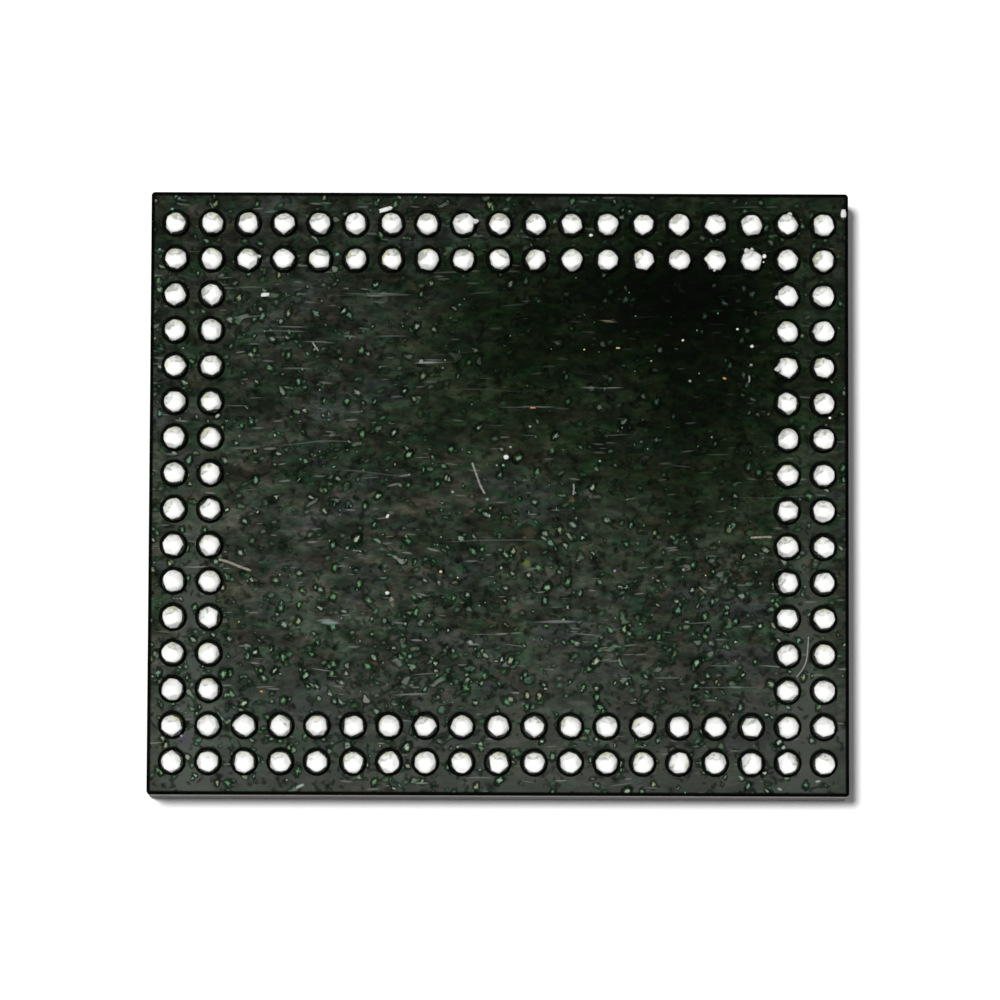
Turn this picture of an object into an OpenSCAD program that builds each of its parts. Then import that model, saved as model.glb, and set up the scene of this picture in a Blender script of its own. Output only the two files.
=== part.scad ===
// Fine-pitch ball grid array package, moulded on a laminate strip and sawn to size.
// It lies on its marking face with the solder balls up. z = 0 is the marking face, X runs along the
// longer side, ball row A is at the +Y side and the first-pin corner is at +X +Y.

/* [Ball grid] */
// Distance between neighbouring balls, centre to centre
pitch = 0.5; // [0.5:0.05:0.8]
// Number of ball columns, along X
columns = 19; // [18:1:24]
// Number of ball rows, along Y
rows = 16; // [15:1:20]
// Width of a ball after reflow
ball_d = 0.32; // [0.3:0.01:0.38]
// Diameter of the copper land under a ball
land_d = 0.28; // [0.24:0.01:0.29]
// Bare ring between a land and the solder mask round it
land_clear = 0.06; // [0.03:0.01:0.07]

/* [Package] */
// From the outer ball centres to the package edge, along X
edge_x = 0.35; // [0.3:0.01:0.6]
// From the outer ball centres to the package edge, along Y
edge_y = 0.45; // [0.3:0.01:0.6]
// Rounding of the four upright edges
corner_r = 0.05; // [0.02:0.01:0.1]
// Thickness of the moulded cap, from the marking face to the laminate
cap_t = 0.7; // [0.6:0.01:0.9]
// Diameter of the round first-pin mark in the marking face
mark_d = 0.5; // [0.3:0.05:0.8]
// Depth of the first-pin mark
mark_depth = 0.02; // [0.01:0.005:0.05]
// From the package edges to the centre of the first-pin mark
mark_inset = 0.8; // [0.6:0.05:1.2]

/* [Laminate] */
// Thickness of the glass and resin core
core_t = 0.2; // [0.1:0.01:0.4]
// Thickness of the copper foil on either side of the core
copper_t = 0.015; // [0.01:0.001:0.02]
// Thickness of the solder mask, measured from the core
mask_t = 0.03; // [0.025:0.001:0.05]
// Width of a copper trace
trace_w = 0.045; // [0.03:0.005:0.055]
// Outer diameter of a plated via barrel
via_d = 0.1; // [0.08:0.01:0.12]
// Wall of the plated barrel
via_wall = 0.02; // [0.01:0.005:0.03]
// Diameter of the copper pad round a via
via_pad_d = 0.17; // [0.14:0.01:0.19]
// From the outer ring of vias in to the inner ring
via_stagger = 0.3; // [0.25:0.01:0.35]
// Depth of the fan of traces, from the outer ring of vias in to the bond fingers
fan_depth = 0.85; // [0.75:0.01:0.9]
// Length of a bond finger
finger_l = 0.2; // [0.15:0.01:0.25]
// Width of a bond finger
finger_w = 0.09; // [0.06:0.01:0.1]
// From the last finger's centre to the line of the next side's fingers
finger_corner = 0.2; // [0.17:0.01:0.3]
// Bare laminate at either end of the bond fingers, inside the window in the solder mask
window_lap = 0.05; // [0.03:0.01:0.08]

/* [Die] */
// Length of the silicon die, along X
die_l = 4.4; // [3.6:0.1:4.6]
// Width of the silicon die, along Y
die_w = 2.9; // [2.4:0.1:3.2]
// Thickness of the die
die_t = 0.2; // [0.1:0.01:0.25]
// Thickness of the adhesive film under the die
attach_t = 0.025; // [0.01:0.005:0.05]
// How far the copper flag reaches past the die
flag_lap = 0.12; // [0.08:0.01:0.2]

/* [Bond wires] */
// From the die's edge to the centres of its bond pads
pad_inset = 0.06; // [0.04:0.01:0.1]
// From the die's corner to its first bond pad
pad_corner = 0.19; // [0.12:0.01:0.3]
// Diameter of the ball bond on the die
bond_d = 0.05; // [0.04:0.005:0.06]
// Height of the ball bond
bond_h = 0.015; // [0.01:0.001:0.02]
// Thickness of the gold wire
wire_d = 0.02; // [0.015:0.001:0.025]
// Height of the wire loop over the die
loop_h = 0.1; // [0.07:0.01:0.14]
// Length of the stitch that lies on a finger
stitch_l = 0.07; // [0.04:0.01:0.1]

/* [Hidden] */
$fn = 48;
eps = 0.01;
rings = 2;
// Balls along a side that have no nets of their own, for the ground groups at its two corners
corner_balls = 4;
row_names = ["a", "b", "c", "d", "e", "f", "g", "h", "j", "k", "l", "m", "n", "p", "r", "t", "u", "v", "w", "y"];
side_names = ["back", "right", "front", "left"];

body_l = (columns - 1) * pitch + 2 * edge_x;
body_w = (rows - 1) * pitch + 2 * edge_y;
land_open_d = land_d + 2 * land_clear;

// Levels, from the marking face up
z_core = cap_t + mask_t;
z_foil = z_core + core_t;
z_land = z_foil + copper_t;
z_finger = z_core - copper_t;
z_die_back = cap_t - attach_t;
z_die_face = z_die_back - die_t;

// Rings of the die side, as half sizes along X and Y: where the fan of traces starts, the line of
// the bond fingers, the window that bares them, and the copper flag under the die
start_depth = 1.5;
start_half = pitch * ([columns - 1, rows - 1] / 2 - [start_depth, start_depth]);
finger_half = start_half - (fan_depth + finger_l / 2) * [1, 1];
window_out = finger_half + (finger_l / 2 + window_lap) * [1, 1];
window_in = finger_half - (finger_l / 2 + window_lap) * [1, 1];
flag_half = [die_l, die_w] / 2 + [flag_lap, flag_lap];

// The four sides turn round the package: each starts just past one corner's ground group and ends
// with the next one. A side's own frame has its x along the side and its y outward, and its ball
// (i, d) is the i-th along the side and d pitches in.
side_turn = [0, -90, 180, 90];
function is_long(s) = s % 2 == 0;
function balls_along(s) = is_long(s) ? columns : rows;
function balls_across(s) = is_long(s) ? rows : columns;
function ball_at(s, i, d) = pitch * [i - (balls_along(s) - 1) / 2, (balls_across(s) - 1) / 2 - d];
function edge_v(s) = (is_long(s) ? body_w : body_l) / 2;
function last_net(s) = 2 * (balls_along(s) - corner_balls) - 1;

// Net q of a side comes in from an outer ball when q is even and from an inner ball when it is odd
function from_outer(q) = q % 2 == 0;
function spread(q, last, half) = (2 * q / last - 1) * half;
function finger_at(s, q) = is_long(s)
    ? [spread(q, last_net(s), finger_half.x - finger_corner), finger_half.y]
    : [spread(q, last_net(s), finger_half.y - finger_corner), finger_half.x];
function pad_at(s, q) = is_long(s)
    ? [spread(q, last_net(s), die_l / 2 - pad_corner), die_w / 2 - pad_inset]
    : [spread(q, last_net(s), die_w / 2 - pad_corner), die_l / 2 - pad_inset];
function spoke_start(s, q) = ball_at(s, start_depth + q / 2, start_depth);
function spoke_end(s, q) = finger_at(s, q) + [0, finger_l / 2];
function via_at(s, q) =
    let (start = spoke_start(s, q), run = spoke_end(s, q) - start)
    from_outer(q) ? start : start - run * via_stagger / run.y;

function unit(v) = v / norm(v);
function left_of(v) = [-v.y, v.x];
function mitre(p, i) =
    let (before = max(i, 1), after = min(i + 1, len(p) - 1))
    let (a = left_of(unit(p[before] - p[before - 1])), b = left_of(unit(p[after] - p[after - 1])))
    (a + b) / (1 + a * b);

// Strip of one width along a path, with mitred bends
module strip(path, width) {
    left = [for (i = [0 : len(path) - 1]) path[i] + mitre(path, i) * width / 2];
    right = [for (i = [len(path) - 1 : -1 : 0]) path[i] - mitre(path, i) * width / 2];
    polygon(concat(left, right));
}

module at(place) translate([place.x, place.y]) children();

module on_side(s) rotate(side_turn[s]) children();

module rounded_outline(l, w, r) {
    square([l - 2 * r, w], center = true);
    square([l, w - 2 * r], center = true);
    for (x = [-1, 1], y = [-1, 1]) at([x * (l / 2 - r), y * (w / 2 - r)]) circle(r);
}

module body_outline() rounded_outline(body_l, body_w, corner_r);

module half_rect(half) square(2 * half, center = true);

module die_outline() square([die_l, die_w], center = true);

module finger_window() {
    difference() {
        half_rect(window_out);
        half_rect(window_in);
    }
}

// Every ball place of the two outer rings
module each_ball_of_row(r) {
    y = ((rows - 1) / 2 - r) * pitch;
    for (c = [0 : columns - 1])
        if (min(c, r, columns - 1 - c, rows - 1 - r) < rings)
            translate([(c - (columns - 1) / 2) * pitch, y]) children();
}

module each_via() for (s = [0 : 3]) on_side(s) for (q = [0 : last_net(s)]) at(via_at(s, q)) children();

// Ball-side copper of one net: its land, the trace that escapes inward and the pad over its via
module ball_net(s, q) {
    i = 1 + floor((q + 1) / 2);
    depth = from_outer(q) ? 0 : 1;
    middle = from_outer(q) ? ball_at(s, i + 0.5, 0.5) : spoke_start(s, q);
    at(ball_at(s, i, depth)) circle(d = land_d);
    strip([ball_at(s, i, depth), middle, via_at(s, q)], trace_w);
    at(via_at(s, q)) circle(d = via_pad_d);
}

// The last net of a side is a ground net, which also ties the corner's balls together
module ground_group(s) {
    n = balls_along(s);
    ball_net(s, last_net(s));
    for (i = [n - 3 : n - 1]) at(ball_at(s, i, 0)) circle(d = land_d);
    at(ball_at(s, n - 2, 1)) circle(d = land_d);
    strip([ball_at(s, n - 1, 0), ball_at(s, n - 3, 0), ball_at(s, n - 3, 1)], trace_w);
    strip([ball_at(s, n - 2, 0), ball_at(s, n - 2, 1)], trace_w);
}

module ball_side_nets(height) {
    for (s = [0 : 3]) on_side(s) {
        for (q = [0 : last_net(s) - 1]) linear_extrude(height) ball_net(s, q);
        linear_extrude(height) ground_group(s);
    }
}

// Die-side copper of one net: the plating tail from the sawn edge, the spoke and the bond finger
module die_net(s, q) {
    start = spoke_start(s, q);
    end = spoke_end(s, q);
    strip([[start.x, edge_v(s)], start, end, end - [0, finger_l / 2]], trace_w);
    at(via_at(s, q)) circle(d = via_pad_d);
    at(finger_at(s, q)) square([finger_w, finger_l], center = true);
}

module die_side_nets(height) {
    for (s = [0 : 3]) on_side(s) for (q = [0 : last_net(s)]) linear_extrude(height) die_net(s, q);
}

// Gold wire of one net: ball bond on the die, rise, flat-topped loop and stitch on the finger
module bond_wire(s, q) {
    pad = pad_at(s, q);
    run = finger_at(s, q) - pad;
    reach = norm(run) + stitch_l / 2;
    z_top = z_die_face - loop_h;
    z_stitch = z_finger - wire_d / 2;
    bend = 2 * wire_d;
    loop = [
        [0, z_die_face - bond_h / 2], [0, z_top + bend], [bend, z_top], [reach / 2, z_top],
        [reach - stitch_l, z_stitch], [reach, z_stitch],
    ];
    translate([pad.x, pad.y, 0]) {
        translate([0, 0, z_die_face - bond_h]) cylinder(d = bond_d, h = bond_h);
        rotate([90, 0, atan2(run.y, run.x)])
            linear_extrude(wire_d, center = true) strip(loop, wire_d);
    }
}

module side_wires(s) on_side(s) for (q = [0 : last_net(s)]) bond_wire(s, q);

module mould_cap() {
    mark_at = [body_l, body_w] / 2 - [mark_inset, mark_inset];
    color([0.09, 0.09, 0.1]) difference() {
        union() {
            linear_extrude(cap_t) body_outline();
            translate([0, 0, cap_t]) linear_extrude(mask_t) finger_window();
        }
        translate([mark_at.x, mark_at.y, -eps]) cylinder(d = mark_d, h = mark_depth + eps);
        die_attach_film();
        silicon_die();
        for (s = [0 : 3]) side_wires(s);
        translate([0, 0, z_finger]) die_side_nets(copper_t);
    }
}

module laminate_core() {
    color([0.72, 0.66, 0.45]) difference() {
        translate([0, 0, z_core]) linear_extrude(core_t) body_outline();
        translate([0, 0, z_core - eps]) each_via() cylinder(d = via_d, h = core_t + 2 * eps);
    }
}

module via_barrels() {
    color([0.8, 0.45, 0.25]) translate([0, 0, z_core]) each_via() difference() {
        cylinder(d = via_d, h = core_t);
        translate([0, 0, -eps]) cylinder(d = via_d - 2 * via_wall, h = core_t + 2 * eps);
    }
}

module via_plugs() {
    color([0.55, 0.6, 0.4]) translate([0, 0, z_core]) each_via() cylinder(d = via_d - 2 * via_wall, h = core_t);
}

module ball_side_copper() {
    color([0.85, 0.6, 0.3]) translate([0, 0, z_foil]) ball_side_nets(copper_t);
}

module ball_side_mask() {
    color([0.1, 0.16, 0.13]) difference() {
        translate([0, 0, z_foil]) linear_extrude(mask_t) body_outline();
        translate([0, 0, z_foil]) ball_side_nets(copper_t);
        translate([0, 0, z_foil - eps]) for (r = [0 : rows - 1])
            each_ball_of_row(r) cylinder(d = land_open_d, h = mask_t + 2 * eps);
    }
}

module die_side_copper() {
    color([0.85, 0.6, 0.3]) translate([0, 0, z_finger]) die_side_nets(copper_t);
}

module die_flag() {
    color([0.85, 0.6, 0.3]) translate([0, 0, z_finger]) linear_extrude(copper_t) half_rect(flag_half);
}

module die_side_mask() {
    color([0.12, 0.2, 0.15]) difference() {
        translate([0, 0, cap_t]) linear_extrude(mask_t) body_outline();
        translate([0, 0, cap_t - eps]) linear_extrude(mask_t + 2 * eps) finger_window();
        translate([0, 0, z_finger]) linear_extrude(copper_t) half_rect(flag_half);
        translate([0, 0, z_finger]) die_side_nets(copper_t);
    }
}

module die_attach_film() {
    color([0.3, 0.27, 0.22])
        translate([0, 0, z_die_back]) linear_extrude(attach_t) die_outline();
}

module silicon_die() {
    color([0.35, 0.37, 0.42])
        translate([0, 0, z_die_face]) linear_extrude(die_t) die_outline();
}

module bond_wires(s) color([0.95, 0.78, 0.35]) side_wires(s);

// Solder balls of one row, each a sphere cut flat where it is soldered to its land
module ball_row(r) {
    centre = z_land + sqrt(pow(ball_d / 2, 2) - pow(land_d / 2, 2));
    color([0.85, 0.86, 0.84]) each_ball_of_row(r) difference() {
        translate([0, 0, centre]) sphere(d = ball_d);
        translate([0, 0, z_land - ball_d]) cylinder(d = 2 * ball_d, h = ball_d);
    }
}

mould_cap();
laminate_core();
via_barrels();
via_plugs();
ball_side_copper();
ball_side_mask();
die_side_copper();
die_flag();
die_side_mask();
die_attach_film();
silicon_die();
for (s = [0 : 3]) bond_wires(s);
for (r = [0 : rows - 1]) ball_row(r);
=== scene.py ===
"""Looks of a ball-grid-array chip package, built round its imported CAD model.

The package lies on its marking face with the solder balls up. Sizes in the classes are in
millimetres, and a Shape turns them into metres when it becomes a Blender object.
"""

import logging
import math
import random
from dataclasses import dataclass, field
from enum import Enum
from typing import Iterable, Sequence

import bpy
from mathutils import Matrix, Vector, noise
from mathutils.geometry import delaunay_2d_cdt


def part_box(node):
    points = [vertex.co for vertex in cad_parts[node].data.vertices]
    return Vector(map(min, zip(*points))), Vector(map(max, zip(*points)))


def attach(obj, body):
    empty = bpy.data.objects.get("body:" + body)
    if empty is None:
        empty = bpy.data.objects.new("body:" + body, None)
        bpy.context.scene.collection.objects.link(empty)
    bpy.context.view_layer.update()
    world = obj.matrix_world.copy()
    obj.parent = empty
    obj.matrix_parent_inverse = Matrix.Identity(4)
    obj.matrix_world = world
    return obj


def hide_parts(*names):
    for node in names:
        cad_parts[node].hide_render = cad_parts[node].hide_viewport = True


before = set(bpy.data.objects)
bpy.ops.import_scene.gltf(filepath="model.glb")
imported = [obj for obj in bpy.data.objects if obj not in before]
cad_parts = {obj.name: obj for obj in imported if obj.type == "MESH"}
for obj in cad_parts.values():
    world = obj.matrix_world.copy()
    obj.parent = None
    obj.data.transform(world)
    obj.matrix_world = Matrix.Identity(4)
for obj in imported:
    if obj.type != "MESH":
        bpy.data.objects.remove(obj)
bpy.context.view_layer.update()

MM = 0.001
BODY = "root"
Node = bpy.types.Node
NodeTree = bpy.types.NodeTree
Socket = bpy.types.NodeSocket
Sockets = bpy.types.bpy_prop_collection
Material = bpy.types.Material
Colour = tuple[float, float, float]
Tones = tuple[tuple[float, Colour], ...]
Point = tuple[float, float]
Span = tuple[float, float]
Ramp = tuple[float, float, float, float]
Feed = float | Sequence[float] | Socket

log = logging.getLogger("chip")


class Slot(Enum):
    """Names of material slots of the record; nothing in the script uses them."""

    BALL_MASK = "ball_side_mask"
    SOLDER = "solder"


# ---------------------------------------------------------------- node wiring


class Graph:
    """Wires nodes into one node tree."""

    def __init__(self, tree: NodeTree) -> None:
        """Keep the tree that the nodes go into."""
        self.tree = tree

    def add(self, kind: str, inputs: dict[str | int, Feed] | None = None, **settings: object) -> Node:
        """Add one node.

        Args:
            kind: Blender's type name of the node.
            inputs: values or sockets for its inputs, by name or place.
            settings: the node's own properties.

        Returns:
            The new node.
        """
        node = self.tree.nodes.new(kind)
        for name, value in settings.items():
            setattr(node, name, value)
        for name, value in (inputs or {}).items():
            self.feed(node.inputs[name], value)
        return node

    def feed(self, socket: Socket, value: Feed) -> None:
        """Set an input from a number or colour, or link it to a socket.

        Args:
            socket: the input.
            value: what it is given.
        """
        if isinstance(value, Socket):
            self.tree.links.new(value, socket)
        elif socket.type == "RGBA" and len(value) == 3:
            socket.default_value = (*value, 1.0)
        else:
            socket.default_value = value

    def math(self, operation: str, first: Feed, second: Feed = 0.0, clamp: bool = False) -> Socket:
        """Work out one operation on two values.

        Args:
            operation: the Math node's operation.
            first: first value.
            second: second value.
            clamp: whether the result is kept between 0 and 1.

        Returns:
            The result's socket.
        """
        node = self.add("ShaderNodeMath", {0: first, 1: second}, operation=operation, use_clamp=clamp)
        return node.outputs[0]

    def times(self, first: Feed, second: Feed, clamp: bool = False) -> Socket:
        """Return the product of two values, kept between 0 and 1 if asked."""
        return self.math("MULTIPLY", first, second, clamp)

    def plus(self, first: Feed, second: Feed) -> Socket:
        """Return the sum of two values."""
        return self.math("ADD", first, second)

    def minus(self, first: Feed, second: Feed) -> Socket:
        """Return the first value less the second."""
        return self.math("SUBTRACT", first, second)

    def over(self, first: Feed, second: Feed) -> Socket:
        """Return the first value divided by the second."""
        return self.math("DIVIDE", first, second)

    def mean(self, first: Feed, second: Feed) -> Socket:
        """Return the middle of two values."""
        return self.times(self.plus(first, second), 0.5)

    def spread(self, chance: Feed, low: float, high: float) -> Socket:
        """Map a chance value from 0 to 1 evenly to a range."""
        return self.plus(self.times(chance, high - low), low)

    def vector(self, operation: str, first: Feed, second: Feed) -> Socket:
        """Work out one operation on two vectors and return its socket."""
        return self.add("ShaderNodeVectorMath", {0: first, 1: second}, operation=operation).outputs[0]

    def colour(self, share: Feed, first: Feed, second: Feed, blend: str = "MIX") -> Socket:
        """Mix two colours.

        Args:
            share: how much of the second shows, from 0 to 1.
            first: colour at share 0.
            second: colour at share 1.
            blend: the Mix node's way of blending.

        Returns:
            The mixed colour's socket.
        """
        node = self.add("ShaderNodeMix", data_type="RGBA", blend_type=blend)
        self.feed(node.inputs[0], share)
        self.feed(node.inputs[6], first)
        self.feed(node.inputs[7], second)
        return node.outputs[2]

    def tinted(self, first: Feed, second: Feed) -> Socket:
        """Return a colour multiplied by another."""
        return self.colour(1.0, first, second, "MULTIPLY")

    def grey(self, value: Feed) -> Socket:
        """Return a value as a grey colour."""
        return self.add("ShaderNodeCombineColor", {0: value, 1: value, 2: value}).outputs[0]

    def picked(self, pick: Socket, tones: Tones) -> Socket:
        """Pick one of some colours.

        Args:
            pick: chance value from 0 to 1.
            tones: the colours, each with the chance value that it starts at.

        Returns:
            The picked colour's socket.
        """
        ramp = self.add("ShaderNodeValToRGB", {0: pick})
        ramp.color_ramp.interpolation = "CONSTANT"
        stops = ramp.color_ramp.elements
        while len(stops) < len(tones):
            stops.new(0.5)
        for stop, (start, tone) in zip(stops, tones):
            stop.position = start
            stop.color = (*tone, 1.0)
        return ramp.outputs[0]

    def between(
        self, value: Feed, low: float, high: float, start: float = 0.0, end: float = 1.0
    ) -> Socket:
        """Map a value smoothly from one range to another.

        Args:
            value: what is mapped.
            low: value that gives start.
            high: value that gives end.
            start: result at low and below.
            end: result at high and above.

        Returns:
            The result's socket.
        """
        node = self.add(
            "ShaderNodeMapRange",
            {"Value": value, "From Min": low, "From Max": high, "To Min": start, "To Max": end},
            interpolation_type="SMOOTHSTEP",
        )
        return node.outputs["Result"]

    def noise(self, vector: Feed, scale: Feed, detail: float = 3.0, rough: float = 0.5) -> Socket:
        """Return the value of a noise texture over a vector in millimetres."""
        node = self.add(
            "ShaderNodeTexNoise", {"Vector": vector, "Scale": scale, "Detail": detail, "Roughness": rough}
        )
        return node.outputs[0]

    def split(self, vector: Socket) -> Sockets:
        """Return the X, Y and Z sockets of a vector."""
        return self.add("ShaderNodeSeparateXYZ", {0: vector}).outputs

    def drawn_out(self, vector: Feed, turn: float, length: float, width: float) -> Socket:
        """Turn a vector, then draw out what it places.

        Args:
            vector: the vector.
            turn: angle in degrees.
            length: how far it is drawn out along.
            width: how far it is drawn out across.

        Returns:
            The new vector's socket.
        """
        node = self.add("ShaderNodeMapping", {"Vector": vector}, vector_type="TEXTURE")
        self.feed(node.inputs["Rotation"], (0.0, 0.0, math.radians(turn)))
        self.feed(node.inputs["Scale"], (length, width, 1.0))
        return node.outputs[0]

    def millimetres(self) -> Socket:
        """Return the place on the object, in millimetres."""
        place = self.add("ShaderNodeTexCoord").outputs["Object"]
        return self.vector("MULTIPLY", place, (1 / MM,) * 3)


class Effect:
    """A surface effect that several finishes share, kept as one shader node group."""

    title = "effect"
    wants: dict[str, tuple[str, Feed]] = {}
    gives: dict[str, str] = {}

    def __init__(self) -> None:
        """Build the group once."""
        self.tree = bpy.data.node_groups.new(self.title, "ShaderNodeTree")
        for name, (kind, start) in self.wants.items():
            socket = self.tree.interface.new_socket(name, in_out="INPUT", socket_type=kind)
            if kind == "NodeSocketFloat":
                socket.default_value = start
        for name, kind in self.gives.items():
            self.tree.interface.new_socket(name, in_out="OUTPUT", socket_type=kind)
        graph = Graph(self.tree)
        source = graph.add("NodeGroupInput").outputs
        drain = graph.add("NodeGroupOutput").inputs
        for name, socket in self.wire(graph, source).items():
            graph.feed(drain[name], socket)

    def wire(self, graph: Graph, given: Sockets) -> dict[str, Socket]:
        """Wire the inside of the group.

        Args:
            graph: the group's own graph.
            given: the group's inputs, by name.

        Returns:
            The sockets that feed the group's outputs, by name.
        """
        raise NotImplementedError

    def place(self, graph: Graph, **values: Feed) -> Sockets:
        """Place the group in a material.

        Args:
            graph: the material's graph.
            values: what its inputs are given, by name.

        Returns:
            The placed node's outputs.
        """
        node = graph.add("ShaderNodeGroup", node_tree=self.tree)
        for name, value in values.items():
            graph.feed(node.inputs[name], value)
        return node.outputs


def chances(graph: Graph, cell: Node) -> Sockets:
    """Return three chance values for each cell of a Voronoi texture, free of where its point lies."""
    drawn = graph.add("ShaderNodeTexWhiteNoise", {"Vector": cell.outputs["Position"]})
    return graph.add("ShaderNodeSeparateColor", {0: drawn.outputs["Color"]}).outputs


class Mottle(Effect):
    """Cloudy unevenness of a surface, in large patches and in fine ones."""

    title = "mottle"
    wants = {
        "Vector": ("NodeSocketVector", 0.0),
        "Patch": ("NodeSocketFloat", 1.0),
        "Grain": ("NodeSocketFloat", 0.05),
    }
    gives = {"Patches": "NodeSocketFloat", "Grains": "NodeSocketFloat"}

    patch_range = (0.32, 0.68)
    grain_range = (0.3, 0.7)

    def wire(self, graph: Graph, given: Sockets) -> dict[str, Socket]:
        """Wire two noises whose scales come from the sizes of a patch and a grain in millimetres.

        Args:
            graph: the group's own graph.
            given: the group's inputs, by name.

        Returns:
            The sockets that feed the group's outputs, by name.
        """
        patches = graph.noise(given["Vector"], graph.over(1.0, given["Patch"]), 4.0, 0.55)
        grains = graph.noise(given["Vector"], graph.over(1.0, given["Grain"]), 2.0, 0.6)
        return {
            "Patches": graph.between(patches, *self.patch_range),
            "Grains": graph.between(grains, *self.grain_range),
        }


class Specks(Effect):
    """Scattered small uneven specks through a bulk, each with a ring round it."""

    title = "specks_in_bulk"
    dimensions = "3D"
    wants = {
        "Vector": ("NodeSocketVector", 0.0),
        "Spacing": ("NodeSocketFloat", 0.2),
        "Radius": ("NodeSocketFloat", 0.02),
        "Share": ("NodeSocketFloat", 0.3),
    }
    gives = {"Speck": "NodeSocketFloat", "Ring": "NodeSocketFloat", "Pick": "NodeSocketFloat"}
    bend_scale = 26.0
    bend = 0.07
    sizes = (0.55, 1.45)
    speck_edge = (1.55, 0.1)
    ring_edge = (2.15, 1.5)

    def wire(self, graph: Graph, given: Sockets) -> dict[str, Socket]:
        """Wire one point a cell, of which only a share has a speck, of its own size and pick.

        Args:
            graph: the group's own graph.
            given: the group's inputs, by name.

        Returns:
            The sockets that feed the group's outputs, by name.
        """
        inputs = {"Vector": given["Vector"], "Scale": self.bend_scale, "Detail": 1.5}
        bent = graph.add("ShaderNodeTexNoise", inputs).outputs["Color"]
        push = graph.vector("MULTIPLY", graph.vector("SUBTRACT", bent, (0.5,) * 3), (self.bend,) * 3)
        cell = graph.add(
            "ShaderNodeTexVoronoi",
            {
                "Vector": graph.vector("ADD", given["Vector"], push),
                "Scale": graph.over(1.0, given["Spacing"]),
                "Randomness": 1.0,
            },
            voronoi_dimensions=self.dimensions,
        )
        chance = chances(graph, cell)
        held = graph.math("LESS_THAN", chance[0], given["Share"])
        size = graph.times(given["Radius"], graph.spread(chance[1], *self.sizes))
        reach = graph.over(graph.times(cell.outputs["Distance"], given["Spacing"]), size)
        return {
            "Speck": graph.times(held, graph.between(reach, *self.speck_edge)),
            "Ring": graph.times(held, graph.between(reach, *self.ring_edge)),
            "Pick": chance[2],
        }


class FlatSpecks(Specks):
    """The same specks on a flat face, where height doesn't matter."""

    title = "specks_on_face"
    dimensions = "2D"


class Crumbs(Effect):
    """Uneven crumbs that lie in drifts, each with a rim round it."""

    title = "crumbs"
    wants = {
        "Vector": ("NodeSocketVector", 0.0),
        "Size": ("NodeSocketFloat", 0.05),
        "Threshold": ("NodeSocketFloat", 0.68),
    }
    gives = {"Crumb": "NodeSocketFloat", "Rim": "NodeSocketFloat", "Pick": "NodeSocketFloat"}
    drift_size = 13.0
    drift_lift = 0.35
    tint_size = 2.5
    crumb_edge = (-0.015, 0.11)
    rim_edge = (-0.08, 0.0)

    def wire(self, graph: Graph, given: Sockets) -> dict[str, Socket]:
        """Wire the peaks of a small noise, lifted in places by a broad one.

        Args:
            graph: the group's own graph.
            given: the group's inputs, by name.

        Returns:
            The sockets that feed the group's outputs, by name.
        """
        scale = graph.over(1.0, given["Size"])
        lumps = graph.noise(given["Vector"], scale, 1.5, 0.6)
        moved = graph.vector("ADD", given["Vector"], (9.0, 4.0, 2.0))
        drift = graph.noise(moved, graph.over(scale, self.drift_size), 2.0)
        lifted = graph.plus(lumps, graph.times(graph.minus(drift, 0.5), self.drift_lift))
        above = graph.minus(lifted, given["Threshold"])
        return {
            "Crumb": graph.between(above, *self.crumb_edge),
            "Rim": graph.between(above, *self.rim_edge),
            "Pick": graph.noise(moved, graph.over(scale, self.tint_size), 0.0),
        }


class Scratches(Effect):
    """Short fine scratches that lie much the same way."""

    title = "scratches"
    wants = {
        "Vector": ("NodeSocketVector", 0.0),
        "Length": ("NodeSocketFloat", 0.3),
        "Width": ("NodeSocketFloat", 0.014),
        "Share": ("NodeSocketFloat", 0.05),
    }
    gives = {"Scratch": "NodeSocketFloat", "Pick": "NodeSocketFloat"}
    sway_scale = 0.7
    sway = 0.3
    sizes = (0.12, 0.42)
    scratch_edge = (1.0, 0.4)

    def wire(self, graph: Graph, given: Sockets) -> dict[str, Socket]:
        """Wire cells that are stretched along X, so that a dot in one is a scratch on the surface.

        Args:
            graph: the group's own graph.
            given: the group's inputs, by name.

        Returns:
            The sockets that feed the group's outputs, by name.
        """
        bent = graph.noise(given["Vector"], self.sway_scale, 1.0)
        axes = graph.split(given["Vector"])
        along = graph.over(axes[0], given["Length"])
        across = graph.over(graph.plus(axes[1], graph.times(bent, self.sway)), given["Width"])
        cells = graph.add(
            "ShaderNodeCombineXYZ",
            {0: graph.times(along, 0.5), 1: graph.times(across, 0.5), 2: 0.0},
        )
        cell = graph.add(
            "ShaderNodeTexVoronoi",
            {"Vector": cells.outputs[0], "Scale": 1.0, "Randomness": 1.0},
            voronoi_dimensions="2D",
        )
        chance = chances(graph, cell)
        held = graph.math("LESS_THAN", chance[0], given["Share"])
        near = graph.over(cell.outputs["Distance"], graph.spread(chance[1], *self.sizes))
        return {"Scratch": graph.times(held, graph.between(near, *self.scratch_edge)), "Pick": chance[2]}


class SawLines(Effect):
    """Fine lines that a dicing saw leaves along a cut side."""

    title = "saw lines"
    wants = {"Vector": ("NodeSocketVector", 0.0), "Pitch": ("NodeSocketFloat", 0.01)}
    gives = {"Lines": "NodeSocketFloat"}
    squeeze = (0.6, 0.6, 12.0)
    line_range = (0.3, 0.7)

    def wire(self, graph: Graph, given: Sockets) -> dict[str, Socket]:
        """Wire noise that is drawn out along the side and narrow in height.

        Args:
            graph: the group's own graph.
            given: the group's inputs, by name.

        Returns:
            The sockets that feed the group's outputs, by name.
        """
        drawn = graph.vector("MULTIPLY", given["Vector"], self.squeeze)
        lines = graph.noise(drawn, graph.over(0.1, given["Pitch"]), 3.0, 0.6)
        return {"Lines": graph.between(lines, *self.line_range)}


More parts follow.
